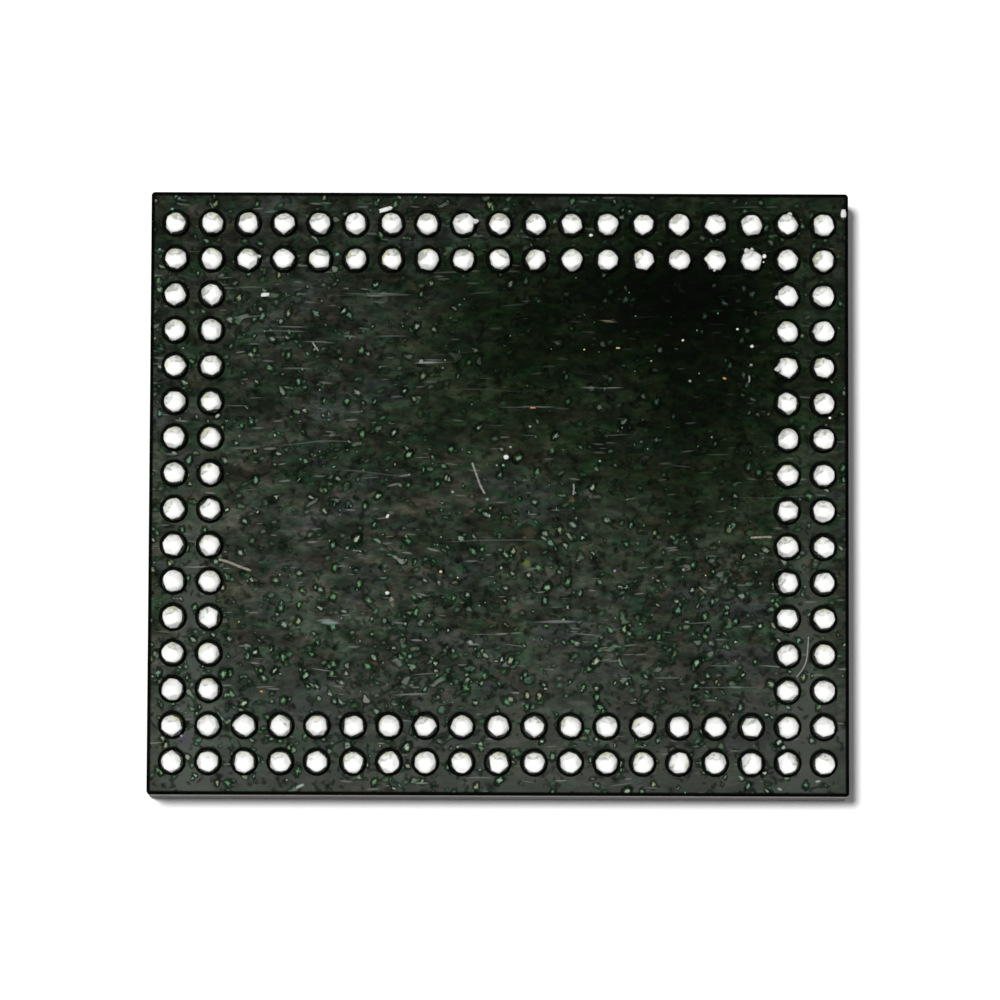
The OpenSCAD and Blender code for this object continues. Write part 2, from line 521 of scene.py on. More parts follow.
@dataclass
class Effects:
    """The shared effects, each built once."""

    mottle: Mottle = field(default_factory=Mottle)
    specks: Specks = field(default_factory=Specks)
    flat_specks: FlatSpecks = field(default_factory=FlatSpecks)
    crumbs: Crumbs = field(default_factory=Crumbs)
    scratches: Scratches = field(default_factory=Scratches)
    saw: SawLines = field(default_factory=SawLines)


# ---------------------------------------------------------------- finishes


@dataclass(frozen=True)
class Finish:
    """A finish with two mottled tones, which the finer finishes build on.

    Args:
        name: the material's name.
        dark: the darker tone.
        light: the lighter tone.
        patch: size of a mottled patch in millimetres.
        grain: size of a grain of the relief in millimetres.
        metallic: how metallic it is.
        roughness: lowest and highest roughness.
        specular: level of its mirror-like light.
        bump: depth of the relief in micrometres.
    """

    name: str
    dark: Colour
    light: Colour
    patch: float = 0.6
    grain: float = 0.04
    metallic: float = 0.0
    roughness: Span = (0.45, 0.6)
    specular: float = 0.5
    bump: float = 1.0

    def material(self, effects: Effects) -> Material:
        """Make the material.

        Args:
            effects: the shared node groups.

        Returns:
            The new material.
        """
        made = bpy.data.materials.new(self.name)
        made.use_nodes = True
        graph = Graph(made.node_tree)
        made.node_tree.nodes.clear()
        shader = graph.add(
            "ShaderNodeBsdfPrincipled", {"Metallic": self.metallic, "Specular IOR Level": self.specular}
        )
        graph.add("ShaderNodeOutputMaterial", {"Surface": shader.outputs[0]})
        self.paint(graph, shader, effects)
        return made

    def paint(self, graph: Graph, shader: Node, effects: Effects) -> None:
        """Paint the two tones with uneven roughness and a fine relief.

        Args:
            graph: the material's graph.
            shader: its Principled shader.
            effects: the shared node groups.
        """
        cloud = effects.mottle.place(graph, Vector=graph.millimetres(), Patch=self.patch, Grain=self.grain)
        share = graph.mean(cloud["Patches"], cloud["Grains"])
        graph.feed(shader.inputs["Base Color"], graph.colour(share, self.dark, self.light))
        graph.feed(shader.inputs["Roughness"], graph.between(cloud["Patches"], 0.0, 1.0, *self.roughness))
        self.emboss(graph, shader, cloud["Grains"])

    def emboss(self, graph: Graph, shader: Node, height: Socket) -> None:
        """Turn a height into the surface's relief, of the finish's own depth in micrometres."""
        inputs = {"Strength": 1.0, "Distance": self.bump * MM * MM, "Height": height}
        graph.feed(shader.inputs["Normal"], graph.add("ShaderNodeBump", inputs).outputs[0])


@dataclass
class Coat:
    """A colour that is built up over a face, step by step.

    Args:
        graph: the material's graph.
        effects: the shared node groups.
        place: place in millimetres.
        light: the painted light and shade over the face, from place to place.
        tone: the colour so far.
    """

    graph: Graph
    effects: Effects
    place: Socket
    light: Socket
    tone: Socket

    def cover(self, share: Feed, tone: Feed) -> None:
        """Lay a colour over the one so far, by a share from 0 to 1."""
        self.tone = self.graph.colour(share, self.tone, tone)

    def tint(self, tone: Feed) -> None:
        """Multiply the colour so far by another."""
        self.tone = self.graph.tinted(self.tone, tone)

    def moved(self, number: int, step_x: float, step_y: float) -> Socket:
        """Return the place moved by so many steps, so that each layer has its own pattern."""
        return self.graph.vector("ADD", self.place, (step_x * number, step_y * number, 0.0))


@dataclass(frozen=True)
class Smudge:
    """A soft stain on the mask, or a black painted shadow round a grain, with its colour and how far it is
    drawn out along X.
    """

    x: float
    y: float
    radius: float
    tone: Colour
    stretch: float = 1.0


@dataclass(frozen=True)
class Shade:
    """An area of painted shade on the mask, at a place, with its reach both ways and its depth."""

    x: float
    y: float
    reach_x: float
    reach_y: float
    depth: float


@dataclass(frozen=True)
class Blot:
    """A kind of cloudy blot: scale and lower and upper value of its noise, and its share and colour."""

    scale: float
    low: float
    high: float
    share: float
    tone: Colour


@dataclass(frozen=True)
class CrumbLayer:
    """A layer of crumbs: size, the noise value at which one starts, brightness and turn in degrees."""

    size: float
    threshold: float
    bright: float
    turn: float


@dataclass(frozen=True)
class SpeckLayer:
    """A layer of specks: spacing, radius, share of cells that hold one, depth of ring, turn and colours."""

    spacing: float
    radius: float
    share: float
    ring: float
    turn: float
    tones: Tones


@dataclass(frozen=True)
class ScratchLayer:
    """A layer of scratches: length and width of its cells, share of them that hold one, and strength."""

    length: float
    width: float
    share: float
    strength: float


@dataclass(frozen=True)
class SolderMaskFinish(Finish):
    """Green-black solder mask with specks, scratches and handling marks, and with painted light, shade,
    glints and shadows.

    A Ramp holds the values that Graph.between maps from and to, and broad and fine hold the sizes of
    a patch and a grain of the two kinds of unevenness.
    """

    half: Point = field(kw_only=True)
    border: float = 0.065
    stretch: tuple[float, float, float] = (0.55, 1.0, 1.0)
    broad: Span = (1.0, 0.14)
    fine: Span = (0.32, 0.06)
    black: Colour = (0.0010, 0.0013, 0.0009)
    # Painted shade in a ring round each opening, darker on its back side.
    lip_shade_cover: float = 0.8
    lip_shade_green: Colour = (0.006, 0.020, 0.009)
    lip_shade_patches: Span = (0.45, 0.6)
    uneven: tuple[Span, ...] = ((0.68, 1.32), (0.72, 1.28), (0.80, 1.20))
    # Painted sheen: the mask is lighter and greyer towards the front and along its columns of balls in
    # front.
    sheen_front: Ramp = (-1.8, -4.1, 0.0, 0.55)
    sheen_front_tone: Colour = (0.044, 0.048, 0.043)
    columns_x: float = 4.22
    sheen_columns: Ramp = (1.2, -2.2, 0.0, 0.55)
    sheen_columns_reach: Span = (0.5, 0.1)
    sheen_columns_tone: Colour = (0.056, 0.065, 0.055)
    # Painted shade over the back right of the mask, eased near the back and right borders, and a painted
    # light gradient, lighter towards the front and the left.
    shades: tuple[Shade, ...] = (
        Shade(2.5, 2.8, 2.7, 1.6, 0.95),
        Shade(0.2, 1.9, 1.3, 1.2, 0.60),
        Shade(3.0, 0.9, 1.9, 1.5, 0.65),
    )
    shade_tint: Colour = (0.8, 1.3, 0.6)
    lit_back: Ramp = (3.05, 3.7, 0.0, 0.5)
    lit_back_left: Ramp = (2.4, 0.2, 0.15, 1.0)
    lit_right: Ramp = (3.7, 4.3, 0.0, 0.38)
    light_along: Ramp = (3.8, -3.4, 0.85, 1.45)
    light_across: Ramp = (-4.0, 4.0, 1.10, 0.90)
    blot_kinds: tuple[Blot, ...] = (
        Blot(2.6, 0.50, 0.68, 0.45, (0.012, 0.027, 0.014)),
        Blot(2.2, 0.50, 0.66, 0.55, (0.024, 0.021, 0.014)),
        Blot(1.8, 0.50, 0.68, 0.55, (0.032, 0.036, 0.038)),
        Blot(5.5, 0.52, 0.66, 0.50, (0.012, 0.040, 0.019)),
        Blot(4.5, 0.54, 0.68, 0.50, (0.046, 0.038, 0.030)),
    )
    crumb_layers: tuple[CrumbLayer, ...] = (
        CrumbLayer(0.17, 0.665, 0.45, 15),
        CrumbLayer(0.14, 0.670, 0.75, -40),
        CrumbLayer(0.16, 0.705, 1.3, 70),
    )
    # Crumbs are fewer, fainter and duller where the painted light is low; the dark rim round each is a
    # painted shadow.
    crumb_cover: Ramp = (0.2, 1.0, 0.03, 1.0)
    crumb_start: Ramp = (0.9, 1.3, 0.004, -0.011)
    crumb_bright: Ramp = (0.8, 1.5, 0.80, 1.05)
    crumb_core: Span = (0.35, 1.0)
    crumb_shape: Span = (1.25, 0.9)
    crumb_rim: float = 0.62
    green_edge: Colour = (0.014, 0.056, 0.019)
    crumb_tones: Tones = (
        (0.0, (0.19, 0.28, 0.18)),
        (0.40, (0.29, 0.33, 0.27)),
        (0.50, (0.16, 0.28, 0.19)),
        (0.60, (0.24, 0.25, 0.15)),
        (0.64, (0.26, 0.28, 0.25)),
    )
    # Pale specks painted bright as glints, each in a dark ring of painted shadow of the given depth.
    speck_layers: tuple[SpeckLayer, ...] = (
        SpeckLayer(
            0.14, 0.026, 0.11, 0.4, 20,
            ((0.0, (0.075, 0.10, 0.075)), (0.4, (0.042, 0.090, 0.045)), (0.75, (0.10, 0.10, 0.09))),
        ),
        SpeckLayer(
            0.17, 0.031, 0.12, 0.65, -35,
            ((0.0, (0.22, 0.27, 0.21)), (0.35, (0.12, 0.23, 0.12)), (0.65, (0.28, 0.29, 0.24))),
        ),
        SpeckLayer(
            0.16, 0.029, 0.09, 0.75, 75,
            ((0.0, (0.13, 0.25, 0.13)), (0.5, (0.15, 0.26, 0.20)), (0.8, (0.29, 0.30, 0.19))),
        ),
        SpeckLayer(
            0.42, 0.033, 0.20, 0.85, 50,
            ((0.0, (0.36, 0.43, 0.34)), (0.4, (0.24, 0.38, 0.24)), (0.75, (0.44, 0.43, 0.34))),
        ),
    )
    # The specks are fewer, fainter and duller where the painted light is low.
    speck_cover: Ramp = (0.1, 1.0, 0.25, 1.0)
    speck_bright: Ramp = (0.8, 1.5, 0.85, 1.10)
    speck_share: Ramp = (0.7, 1.4, 0.75, 1.3)
    speck_core: Span = (0.38, 0.95)
    speck_shape: Span = (1.3, 0.9)
    # Small black spots on the mask.
    dark_spot_spacing: float = 0.19
    dark_spot_radius: float = 0.050
    dark_spot_share: float = 0.20
    dark_spot_cover: float = 0.65
    scratch_layers: tuple[ScratchLayer, ...] = (
        ScratchLayer(0.34, 0.020, 0.030, 0.42),
        ScratchLayer(0.15, 0.026, 0.070, 0.45),
        ScratchLayer(1.1, 0.022, 0.010, 0.22),
    )
    scratch_tones: Tones = ((0.0, (0.15, 0.17, 0.15)), (0.7, (0.22, 0.23, 0.21)))
    smudges_and_grain_shadows: tuple[Smudge, ...] = (
        Smudge(1.22, -0.03, 0.08, (0.12, 0.118, 0.112)),
        Smudge(1.32, -0.05, 0.06, (0.080, 0.092, 0.082), 1.6),
        Smudge(1.01, -0.10, 0.06, (0.10, 0.085, 0.03)),
        Smudge(-0.46, -0.27, 0.06, (0.13, 0.075, 0.060)),
        Smudge(-0.38, -0.24, 0.05, (0.12, 0.070, 0.055)),
        Smudge(-1.49, -1.49, 0.06, (0.27, 0.25, 0.18)),
        Smudge(-1.46, -1.54, 0.05, (0.24, 0.22, 0.16)),
        Smudge(-0.84, -0.10, 0.045, (0.085, 0.075, 0.10)),
        Smudge(-4.33, -3.42, 0.12, (0.07, 0.065, 0.085)),
        Smudge(0.42, -0.62, 0.16, (0.05, 0.042, 0.025)),
        Smudge(0.37, -0.98, 0.075, (0.12, 0.15, 0.035)),
        # The black smudges lie round grains of dust: painted shadows of the grains.
        Smudge(0.10, 0.50, 0.11, (0.0, 0.0, 0.0)),
        Smudge(-0.80, -1.10, 0.09, (0.0, 0.0, 0.0)),
        Smudge(3.51, 2.06, 0.09, (0.0, 0.0, 0.0)),
        Smudge(0.04, 0.39, 0.10, (0.0, 0.006, 0.002)),
        Smudge(-3.26, 2.79, 0.11, (0.0, 0.0, 0.0)),
        Smudge(-1.70, 2.77, 0.030, (0.19, 0.21, 0.19), 17.0),
        Smudge(-0.92, 1.83, 0.034, (0.24, 0.26, 0.24), 11.0),
        Smudge(1.42, 1.47, 0.020, (0.22, 0.24, 0.21), 17.0),
        Smudge(1.54, 2.41, 0.020, (0.17, 0.16, 0.10), 8.0),
        Smudge(0.42, 1.20, 0.020, (0.12, 0.13, 0.12), 20.0),
        Smudge(0.82, -1.78, 0.028, (0.15, 0.16, 0.15), 16.0),
        Smudge(-2.32, -1.80, 0.045, (0.21, 0.26, 0.24), 4.5),
        Smudge(-2.95, 2.25, 0.028, (0.12, 0.13, 0.12), 14.0),
    )

    def paint(self, graph: Graph, shader: Node, effects: Effects) -> None:
        """Paint tones, painted light and shade, specks with painted glints and shadows, scratches and a
        black band along the border.

        Args:
            graph: the material's graph.
            shader: its Principled shader.
            effects: the shared node groups.
        """
        place = graph.millimetres()
        axes = graph.split(place)
        drawn = graph.vector("MULTIPLY", place, self.stretch)
        broad = effects.mottle.place(graph, Vector=drawn, Patch=self.broad[0], Grain=self.broad[1])
        fine = effects.mottle.place(graph, Vector=drawn, Patch=self.fine[0], Grain=self.fine[1])
        light, dark = self.daylight(graph, axes)
        coat = Coat(graph, effects, place, light, graph.colour(broad["Patches"], self.dark, self.light))
        self.blots(coat, drawn)
        for value, span in zip((broad["Grains"], fine["Patches"], fine["Grains"]), self.uneven):
            coat.tint(graph.grey(graph.between(value, 0.0, 1.0, *span)))
        self.paint_sheen(coat, axes)
        # Painted light and shade: lighter towards the front and the left, darker and greener over the back
        # right.
        coat.tint(graph.grey(light))
        coat.tint(graph.colour(dark, (1.0, 1.0, 1.0), self.shade_tint))
        self.crumbs(coat)
        self.specks(coat)
        self.scratches(coat)
        for smudge in self.smudges_and_grain_shadows:
            self.stain(coat, smudge)
        # Painted shade round each opening, from the lip mark, darker on its back side.
        lip = graph.add("ShaderNodeAttribute", attribute_name="lip").outputs["Fac"]
        greened = graph.between(fine["Patches"], *self.lip_shade_patches)
        coat.cover(graph.times(lip, self.lip_shade_cover), graph.colour(greened, self.black, self.lip_shade_green))
        coat.cover(self.border_band(graph, axes), self.black)
        graph.feed(shader.inputs["Base Color"], coat.tone)
        graph.feed(shader.inputs["Roughness"], graph.between(fine["Patches"], 0.0, 1.0, *self.roughness))
        self.emboss(graph, shader, graph.plus(fine["Grains"], broad["Grains"]))

    def daylight(self, graph: Graph, axes: Sockets) -> tuple[Socket, Socket]:
        """Work out the painted light and shade of the mask from place to place.

        Args:
            graph: the material's graph.
            axes: place along X, Y and Z.

        Returns:
            The painted lightness, and where the painted shade lies, from 0 to 1.
        """
        kept = 1.0
        for shade in self.shades:
            across = graph.over(graph.minus(axes[0], shade.x), shade.reach_x)
            along = graph.over(graph.minus(axes[1], shade.y), shade.reach_y)
            far = graph.plus(graph.times(across, across), graph.times(along, along))
            near = graph.math("POWER", math.e, graph.times(far, -1.0))
            kept = graph.times(kept, graph.minus(1.0, graph.times(near, shade.depth)))
        back = graph.times(
            graph.between(axes[1], *self.lit_back), graph.between(axes[0], *self.lit_back_left)
        )
        lit = graph.math("MAXIMUM", graph.between(axes[0], *self.lit_right), back)
        dark = graph.times(graph.minus(1.0, kept), graph.minus(1.0, lit))
        slope = graph.times(
            graph.between(axes[1], *self.light_along), graph.between(axes[0], *self.light_across)
        )
        return graph.times(graph.minus(1.0, dark), slope), dark

    def blots(self, coat: Coat, drawn: Socket) -> None:
        """Add green, brown and blue-grey blots.

        Args:
            coat: the mask's colour so far.
            drawn: place in millimetres, drawn out along X.
        """
        graph = coat.graph
        for number, blot in enumerate(self.blot_kinds):
            moved = graph.vector("ADD", drawn, (7.3 * number, 3.1 * number, 0.0))
            cloud = graph.noise(moved, blot.scale, 3.0, 0.55)
            coat.cover(graph.between(cloud, blot.low, blot.high, 0.0, blot.share), blot.tone)

    def paint_sheen(self, coat: Coat, axes: Sockets) -> None:
        """Paint sheen on the mask: lighter grey towards the front, and along its columns of balls.

        Args:
            coat: the mask's colour so far.
            axes: place along X, Y and Z.
        """
        graph = coat.graph
        coat.cover(graph.between(axes[1], *self.sheen_front), self.sheen_front_tone)
        off = graph.minus(graph.math("ABSOLUTE", axes[0]), self.columns_x)
        near = graph.between(graph.math("ABSOLUTE", off), *self.sheen_columns_reach)
        coat.cover(graph.times(near, graph.between(axes[1], *self.sheen_columns)), self.sheen_columns_tone)

    def crumbs(self, coat: Coat) -> None:
        """Add the crumbs that lie in drifts, green at their edge and pale in the middle, each in a rim of
        painted shadow, fewer and duller where the painted light is low.

        Args:
            coat: the mask's colour so far.
        """
        graph = coat.graph
        shown = graph.between(coat.light, *self.crumb_cover)
        start = graph.between(coat.light, *self.crumb_start)
        bright = graph.grey(graph.between(coat.light, *self.crumb_bright))
        for number, layer in enumerate(self.crumb_layers):
            place = graph.drawn_out(coat.moved(number, 4.1, 6.3), layer.turn, *self.crumb_shape)
            threshold = graph.plus(start, layer.threshold)
            crumb = coat.effects.crumbs.place(graph, Vector=place, Size=layer.size, Threshold=threshold)
            # The dark rim is a painted shadow round the crumb.
            coat.cover(graph.times(crumb["Rim"], self.crumb_rim), self.black)
            tones = tuple((at, tuple(layer.bright * c for c in tone)) for at, tone in self.crumb_tones)
            pale = graph.tinted(graph.picked(crumb["Pick"], tones), bright)
            whole = graph.colour(graph.between(crumb["Crumb"], *self.crumb_core), self.green_edge, pale)
            coat.cover(graph.times(crumb["Crumb"], shown), whole)

    def specks(self, coat: Coat) -> None:
        """Add small black spots, then pale specks painted bright as glints, each in a dark ring of painted
        shadow.

        Args:
            coat: the mask's colour so far.
        """
        graph = coat.graph
        specks = coat.effects.flat_specks
        shown = graph.between(coat.light, *self.speck_cover)
        bright = graph.grey(graph.between(coat.light, *self.speck_bright))
        dark_spot = specks.place(
            graph, Vector=coat.place, Spacing=self.dark_spot_spacing, Radius=self.dark_spot_radius, Share=self.dark_spot_share
        )
        coat.cover(graph.times(dark_spot["Speck"], self.dark_spot_cover), self.black)
        low, high, few, many = self.speck_share
        for number, layer in enumerate(self.speck_layers):
            place = graph.drawn_out(coat.moved(number, 5.7, 2.9), layer.turn, *self.speck_shape)
            share = graph.between(coat.light, low, high, few * layer.share, many * layer.share)
            speck = specks.place(
                graph, Vector=place, Spacing=layer.spacing, Radius=layer.radius, Share=share
            )
            # The ring is a painted shadow, and the speck's pale core a painted glint that is brighter where
            # the painted light is.
            coat.cover(graph.times(speck["Ring"], layer.ring), self.black)
            pale = graph.tinted(graph.picked(speck["Pick"], layer.tones), bright)
            whole = graph.colour(graph.between(speck["Speck"], *self.speck_core), self.green_edge, pale)
            coat.cover(graph.times(speck["Speck"], shown), whole)

    def scratches(self, coat: Coat) -> None:
        """Add the scratches from handling.

        Args:
            coat: the mask's colour so far.
        """
        graph = coat.graph
        for number, layer in enumerate(self.scratch_layers):
            place = coat.moved(number, 3.3, 1.7)
            mark = coat.effects.scratches.place(
                graph, Vector=place, Length=layer.length, Width=layer.width, Share=layer.share
            )
            # The scratches fade where the painted shade lies.
            fade = graph.times(graph.times(mark["Scratch"], layer.strength), coat.light, clamp=True)
            coat.cover(fade, graph.picked(mark["Pick"], self.scratch_tones))

    def stain(self, coat: Coat, smudge: Smudge) -> None:
        """Add one smudge.

        Args:
            coat: the mask's colour so far.
            smudge: the smudge.
        """
        graph = coat.graph
        away = graph.vector("SUBTRACT", coat.place, (smudge.x, smudge.y, 0.0))
        level = graph.vector("MULTIPLY", away, (1.0 / smudge.stretch, 1.0, 0.0))
        far = graph.add("ShaderNodeVectorMath", {0: level}, operation="LENGTH").outputs["Value"]
        own = graph.vector("ADD", level, (smudge.x, smudge.y, 0.0))
        uneven = graph.noise(own, 0.8 / smudge.radius, 1.5)
        bend = graph.between(uneven, 0.3, 0.7, -0.6 * smudge.radius, 0.4 * smudge.radius)
        cover = graph.between(graph.minus(far, bend), smudge.radius, 0.0, 0.0, 0.9)
        worn = graph.between(uneven, 0.3, 0.6, 0.4, 1.0)
        coat.cover(graph.times(cover, worn), smudge.tone)

    def border_band(self, graph: Graph, axes: Sockets) -> Socket:
        """Find the thin band along the border that is painted black.

        Args:
            graph: the material's graph.
            axes: place along X, Y and Z.

        Returns:
            How much of the black band shows, from 0 to 1.
        """
        gap_x = graph.minus(self.half[0], graph.math("ABSOLUTE", axes[0]))
        gap_y = graph.minus(self.half[1], graph.math("ABSOLUTE", axes[1]))
        return graph.between(graph.math("MINIMUM", gap_x, gap_y), self.border, self.border * 0.55)


@dataclass(frozen=True)
class FacedFinish(Finish):
    """A finish whose cut sides differ from its upper and lower faces."""

    side_dark: Colour = (0.3, 0.26, 0.2)
    side_light: Colour = (0.5, 0.44, 0.36)
    saw_pitch: float = 0.012
    weave: float = 0.0
    weave_height: float = 0.1
    face_metallic: float | None = None
    level_edge: Span = (0.4, 0.7)

    def paint(self, graph: Graph, shader: Node, effects: Effects) -> None:
        """Paint the faces with mottled tones and the sides with saw lines.

        Args:
            graph: the material's graph.
            shader: its Principled shader.
            effects: the shared node groups.
        """
        place = graph.millimetres()
        cloud = effects.mottle.place(graph, Vector=place, Patch=self.patch, Grain=self.grain)
        lines = effects.saw.place(graph, Vector=place, Pitch=self.saw_pitch)["Lines"]
        face = graph.colour(graph.mean(cloud["Patches"], cloud["Grains"]), self.dark, self.light)
        cut = graph.mean(cloud["Grains"], lines)
        if self.weave:
            cut = graph.mean(cut, self.bundles(graph, place))
        side = graph.colour(cut, self.side_dark, self.side_light)
        up = graph.split(graph.add("ShaderNodeTexCoord").outputs["Normal"])[2]
        level = graph.between(graph.math("ABSOLUTE", up), *self.level_edge)
        graph.feed(shader.inputs["Base Color"], graph.colour(level, side, face))
        if self.face_metallic is not None:
            metal = graph.between(level, 0.0, 1.0, self.metallic, self.face_metallic)
            graph.feed(shader.inputs["Metallic"], metal)
        graph.feed(shader.inputs["Roughness"], graph.between(cut, 0.0, 1.0, *self.roughness))
        self.emboss(graph, shader, graph.plus(cloud["Grains"], graph.times(lines, 0.8)))

    def bundles(self, graph: Graph, place: Socket) -> Socket:
        """Find the cut ends of the glass bundles, one every weave of length.

        Args:
            graph: the material's graph.
            place: place in millimetres.

        Returns:
            Where a bundle's end shows, from 0 to 1.
        """
        axes = graph.split(place)
        along = graph.plus(axes[0], axes[1])
        wave = graph.math("SINE", graph.times(along, 2 * math.pi / self.weave))
        layer = graph.math("SINE", graph.times(axes[2], 2 * math.pi / self.weave_height))
        return graph.between(graph.times(layer, wave), -0.7, 0.7)


@dataclass(frozen=True)
class Filler:
    """Pale filler grains: spacing, radius, share of places that hold one, how far they show, and colour."""

    spacing: float
    radius: float
    share: float
    cover: float
    tone: Colour


@dataclass(frozen=True)
class MouldFinish(FacedFinish):
    """Black moulding compound with pale filler grains and saw marks."""

    fillers: tuple[Filler, ...] = (
        Filler(0.06, 0.014, 0.45, 0.55, (0.085, 0.085, 0.088)),
        Filler(0.16, 0.024, 0.40, 0.50, (0.13, 0.13, 0.135)),
    )

    def paint(self, graph: Graph, shader: Node, effects: Effects) -> None:
        """Paint the faces and sides, then scatter the filler grains.

        Args:
            graph: the material's graph.
            shader: its Principled shader.
            effects: the shared node groups.
        """
        super().paint(graph, shader, effects)
        tone = shader.inputs["Base Color"].links[0].from_socket
        place = graph.millimetres()
        for filler in self.fillers:
            grain = effects.specks.place(
                graph, Vector=place, Spacing=filler.spacing, Radius=filler.radius, Share=filler.share
            )
            tone = graph.colour(graph.times(grain["Speck"], filler.cover), tone, filler.tone)
        graph.feed(shader.inputs["Base Color"], tone)


@dataclass(frozen=True)
class SolderFinish(Finish):
    """Solder that is metal on its flank, with a painted highlight: matt white on a ball's crown, whiter
    towards its rim, and more metallic, so brighter, on the side facing the front.
    """

    flank: Colour = (0.55, 0.55, 0.53)
    rim_painted_light: Colour = (0.97, 0.975, 0.96)
    rim_light_slope: Span = (0.99, 0.6)
    back_shade_tone: Colour = (0.41, 0.43, 0.385)
    yellow: Colour = (0.62, 0.61, 0.34)
    front_light_slope: Span = (0.02, -0.32)
    front_light_metallic: float = 0.75

    def paint(self, graph: Graph, shader: Node, effects: Effects) -> None:
        """Paint the crown's matt white, a painted highlight, the flank, and the painted shade and painted
        yellow reflection, from the marks that the ball's mesh carries.

        Args:
            graph: the material's graph.
            shader: its Principled shader.
            effects: the shared node groups.
        """
        cloud = effects.mottle.place(graph, Vector=graph.millimetres(), Patch=self.patch, Grain=self.grain)
        crown, dull, warm = (
            graph.add("ShaderNodeAttribute", attribute_name=mark).outputs["Fac"]
            for mark in ("crown", "dull", "warm")
        )
        back_shade_cover = graph.times(dull, graph.between(cloud["Patches"], 0.30, 0.6, 0.4, 1.0), clamp=True)
        reflected_yellow = graph.times(warm, graph.between(cloud["Grains"], 0.2, 0.7, 0.2, 1.0))
        normal = graph.split(graph.add("ShaderNodeNewGeometry").outputs["Normal"])
        # Painted light: the crown is painted whiter towards its rim, where the light falls off.
        top = graph.colour(graph.between(normal[2], *self.rim_light_slope), self.light, self.rim_painted_light)
        # Painted shade on the ball's back side, then a painted yellow reflection at its rim.
        top = graph.colour(back_shade_cover, top, self.back_shade_tone)
        top = graph.colour(reflected_yellow, top, self.yellow)
        graph.feed(shader.inputs["Base Color"], graph.colour(crown, self.flank, top))
        # Painted light: the side facing the front is more metallic, so it shows brighter.
        front = graph.between(normal[1], *self.front_light_slope, self.metallic, self.front_light_metallic)
        shine = graph.plus(graph.times(crown, graph.minus(front, 1.0)), 1.0)
        graph.feed(shader.inputs["Metallic"], shine)
        graph.feed(shader.inputs["Roughness"], graph.between(crown, 0.0, 1.0, *self.roughness))
        self.emboss(graph, shader, cloud["Grains"])


class Palette:
    """All the part's materials, by the node or piece that wears them."""

    def __init__(self, half: Point) -> None:
        """Make each material once.

        Args:
            half: half the length and width of the sawn part.
        """
        effects = Effects()
        self.mask = SolderMaskFinish(
            "solder_mask_ball_side", (0.012, 0.017, 0.010), (0.034, 0.041, 0.030),
            roughness=(0.6, 0.8), specular=0.012, bump=1.2, half=half,
        ).material(effects)
        # The core's upper and lower faces are near black: painted shade in the openings round the balls.
        self.core = FacedFinish(
            "glass_resin_core", (0.0012, 0.0016, 0.0012), (0.004, 0.005, 0.004),
            patch=0.3, grain=0.03, roughness=(0.55, 0.8), specular=0.012, bump=2.0,
            side_dark=(0.27, 0.23, 0.19), side_light=(0.58, 0.51, 0.45), weave=0.42,
        ).material(effects)
        self.mould = MouldFinish(
            "moulding_compound", (0.012, 0.012, 0.013), (0.026, 0.026, 0.027),
            patch=0.8, grain=0.03, roughness=(0.55, 0.8), specular=0.35, bump=2.5,
            side_dark=(0.016, 0.016, 0.017), side_light=(0.050, 0.050, 0.052), saw_pitch=0.02,
        ).material(effects)
        # The copper's upper and lower faces are near black too: painted shade in the openings round the
        # balls.
        self.copper = FacedFinish(
            "copper_foil", (0.0012, 0.0016, 0.0012), (0.004, 0.004, 0.003),
            patch=0.2, grain=0.015, metallic=0.7, roughness=(0.4, 0.65), specular=0.012, bump=1.0,
            side_dark=(0.14, 0.055, 0.028), side_light=(0.30, 0.15, 0.08), saw_pitch=0.006,
            face_metallic=0.0,
        ).material(effects)
        self.barrel = Finish(
            "plated_copper", (0.50, 0.20, 0.10), (0.80, 0.38, 0.22),
            patch=0.1, grain=0.01, metallic=1.0, roughness=(0.3, 0.5), bump=1.0,
        ).material(effects)
        self.resin = Finish(
            "plug_resin", (0.10, 0.085, 0.04), (0.22, 0.19, 0.10), patch=0.08, grain=0.012, bump=1.0,
        ).material(effects)
        self.die_mask = Finish(
            "solder_mask_die_side", (0.008, 0.018, 0.011), (0.018, 0.032, 0.020),
            patch=0.5, grain=0.03, roughness=(0.35, 0.5), bump=1.0,
        ).material(effects)
        self.attach = Finish(
            "die_attach_film", (0.42, 0.40, 0.36), (0.60, 0.58, 0.53), patch=0.4, grain=0.03, bump=1.5,
        ).material(effects)
        self.silicon = FacedFinish(
            "silicon", (0.10, 0.10, 0.13), (0.18, 0.18, 0.23),
            patch=1.1, grain=0.05, metallic=0.8, roughness=(0.12, 0.3), bump=0.3,
            side_dark=(0.08, 0.08, 0.09), side_light=(0.20, 0.20, 0.22), saw_pitch=0.008,
        ).material(effects)
        self.gold = Finish(
            "gold_wire", (0.85, 0.58, 0.20), (1.0, 0.76, 0.34),
            patch=0.08, grain=0.008, metallic=1.0, roughness=(0.18, 0.32), bump=0.4,
        ).material(effects)
        self.solder = SolderFinish(
            "ball_solder", (0.5, 0.5, 0.48), (0.885, 0.885, 0.865),
            patch=0.13, grain=0.06, metallic=0.22, roughness=(0.2, 0.6), bump=1.0,
        ).material(effects)
        self.lint = {
            tone: Finish(
                f"lint_{tone.name.lower()}", tuple(0.4 * c for c in tone.value), tone.value,
                patch=0.09, grain=0.02, roughness=(0.6, 0.8), bump=0.5,
            ).material(effects)
            for tone in LintTone
        }
        self.dust = {
            tone: Finish(
                f"dust_{tone.name.lower()}", tuple(0.55 * c for c in tone.value), tone.value,
                patch=0.05, grain=0.01, roughness=(0.4, 0.7), bump=1.0,
            ).material(effects)
            for tone in DustTone
        }


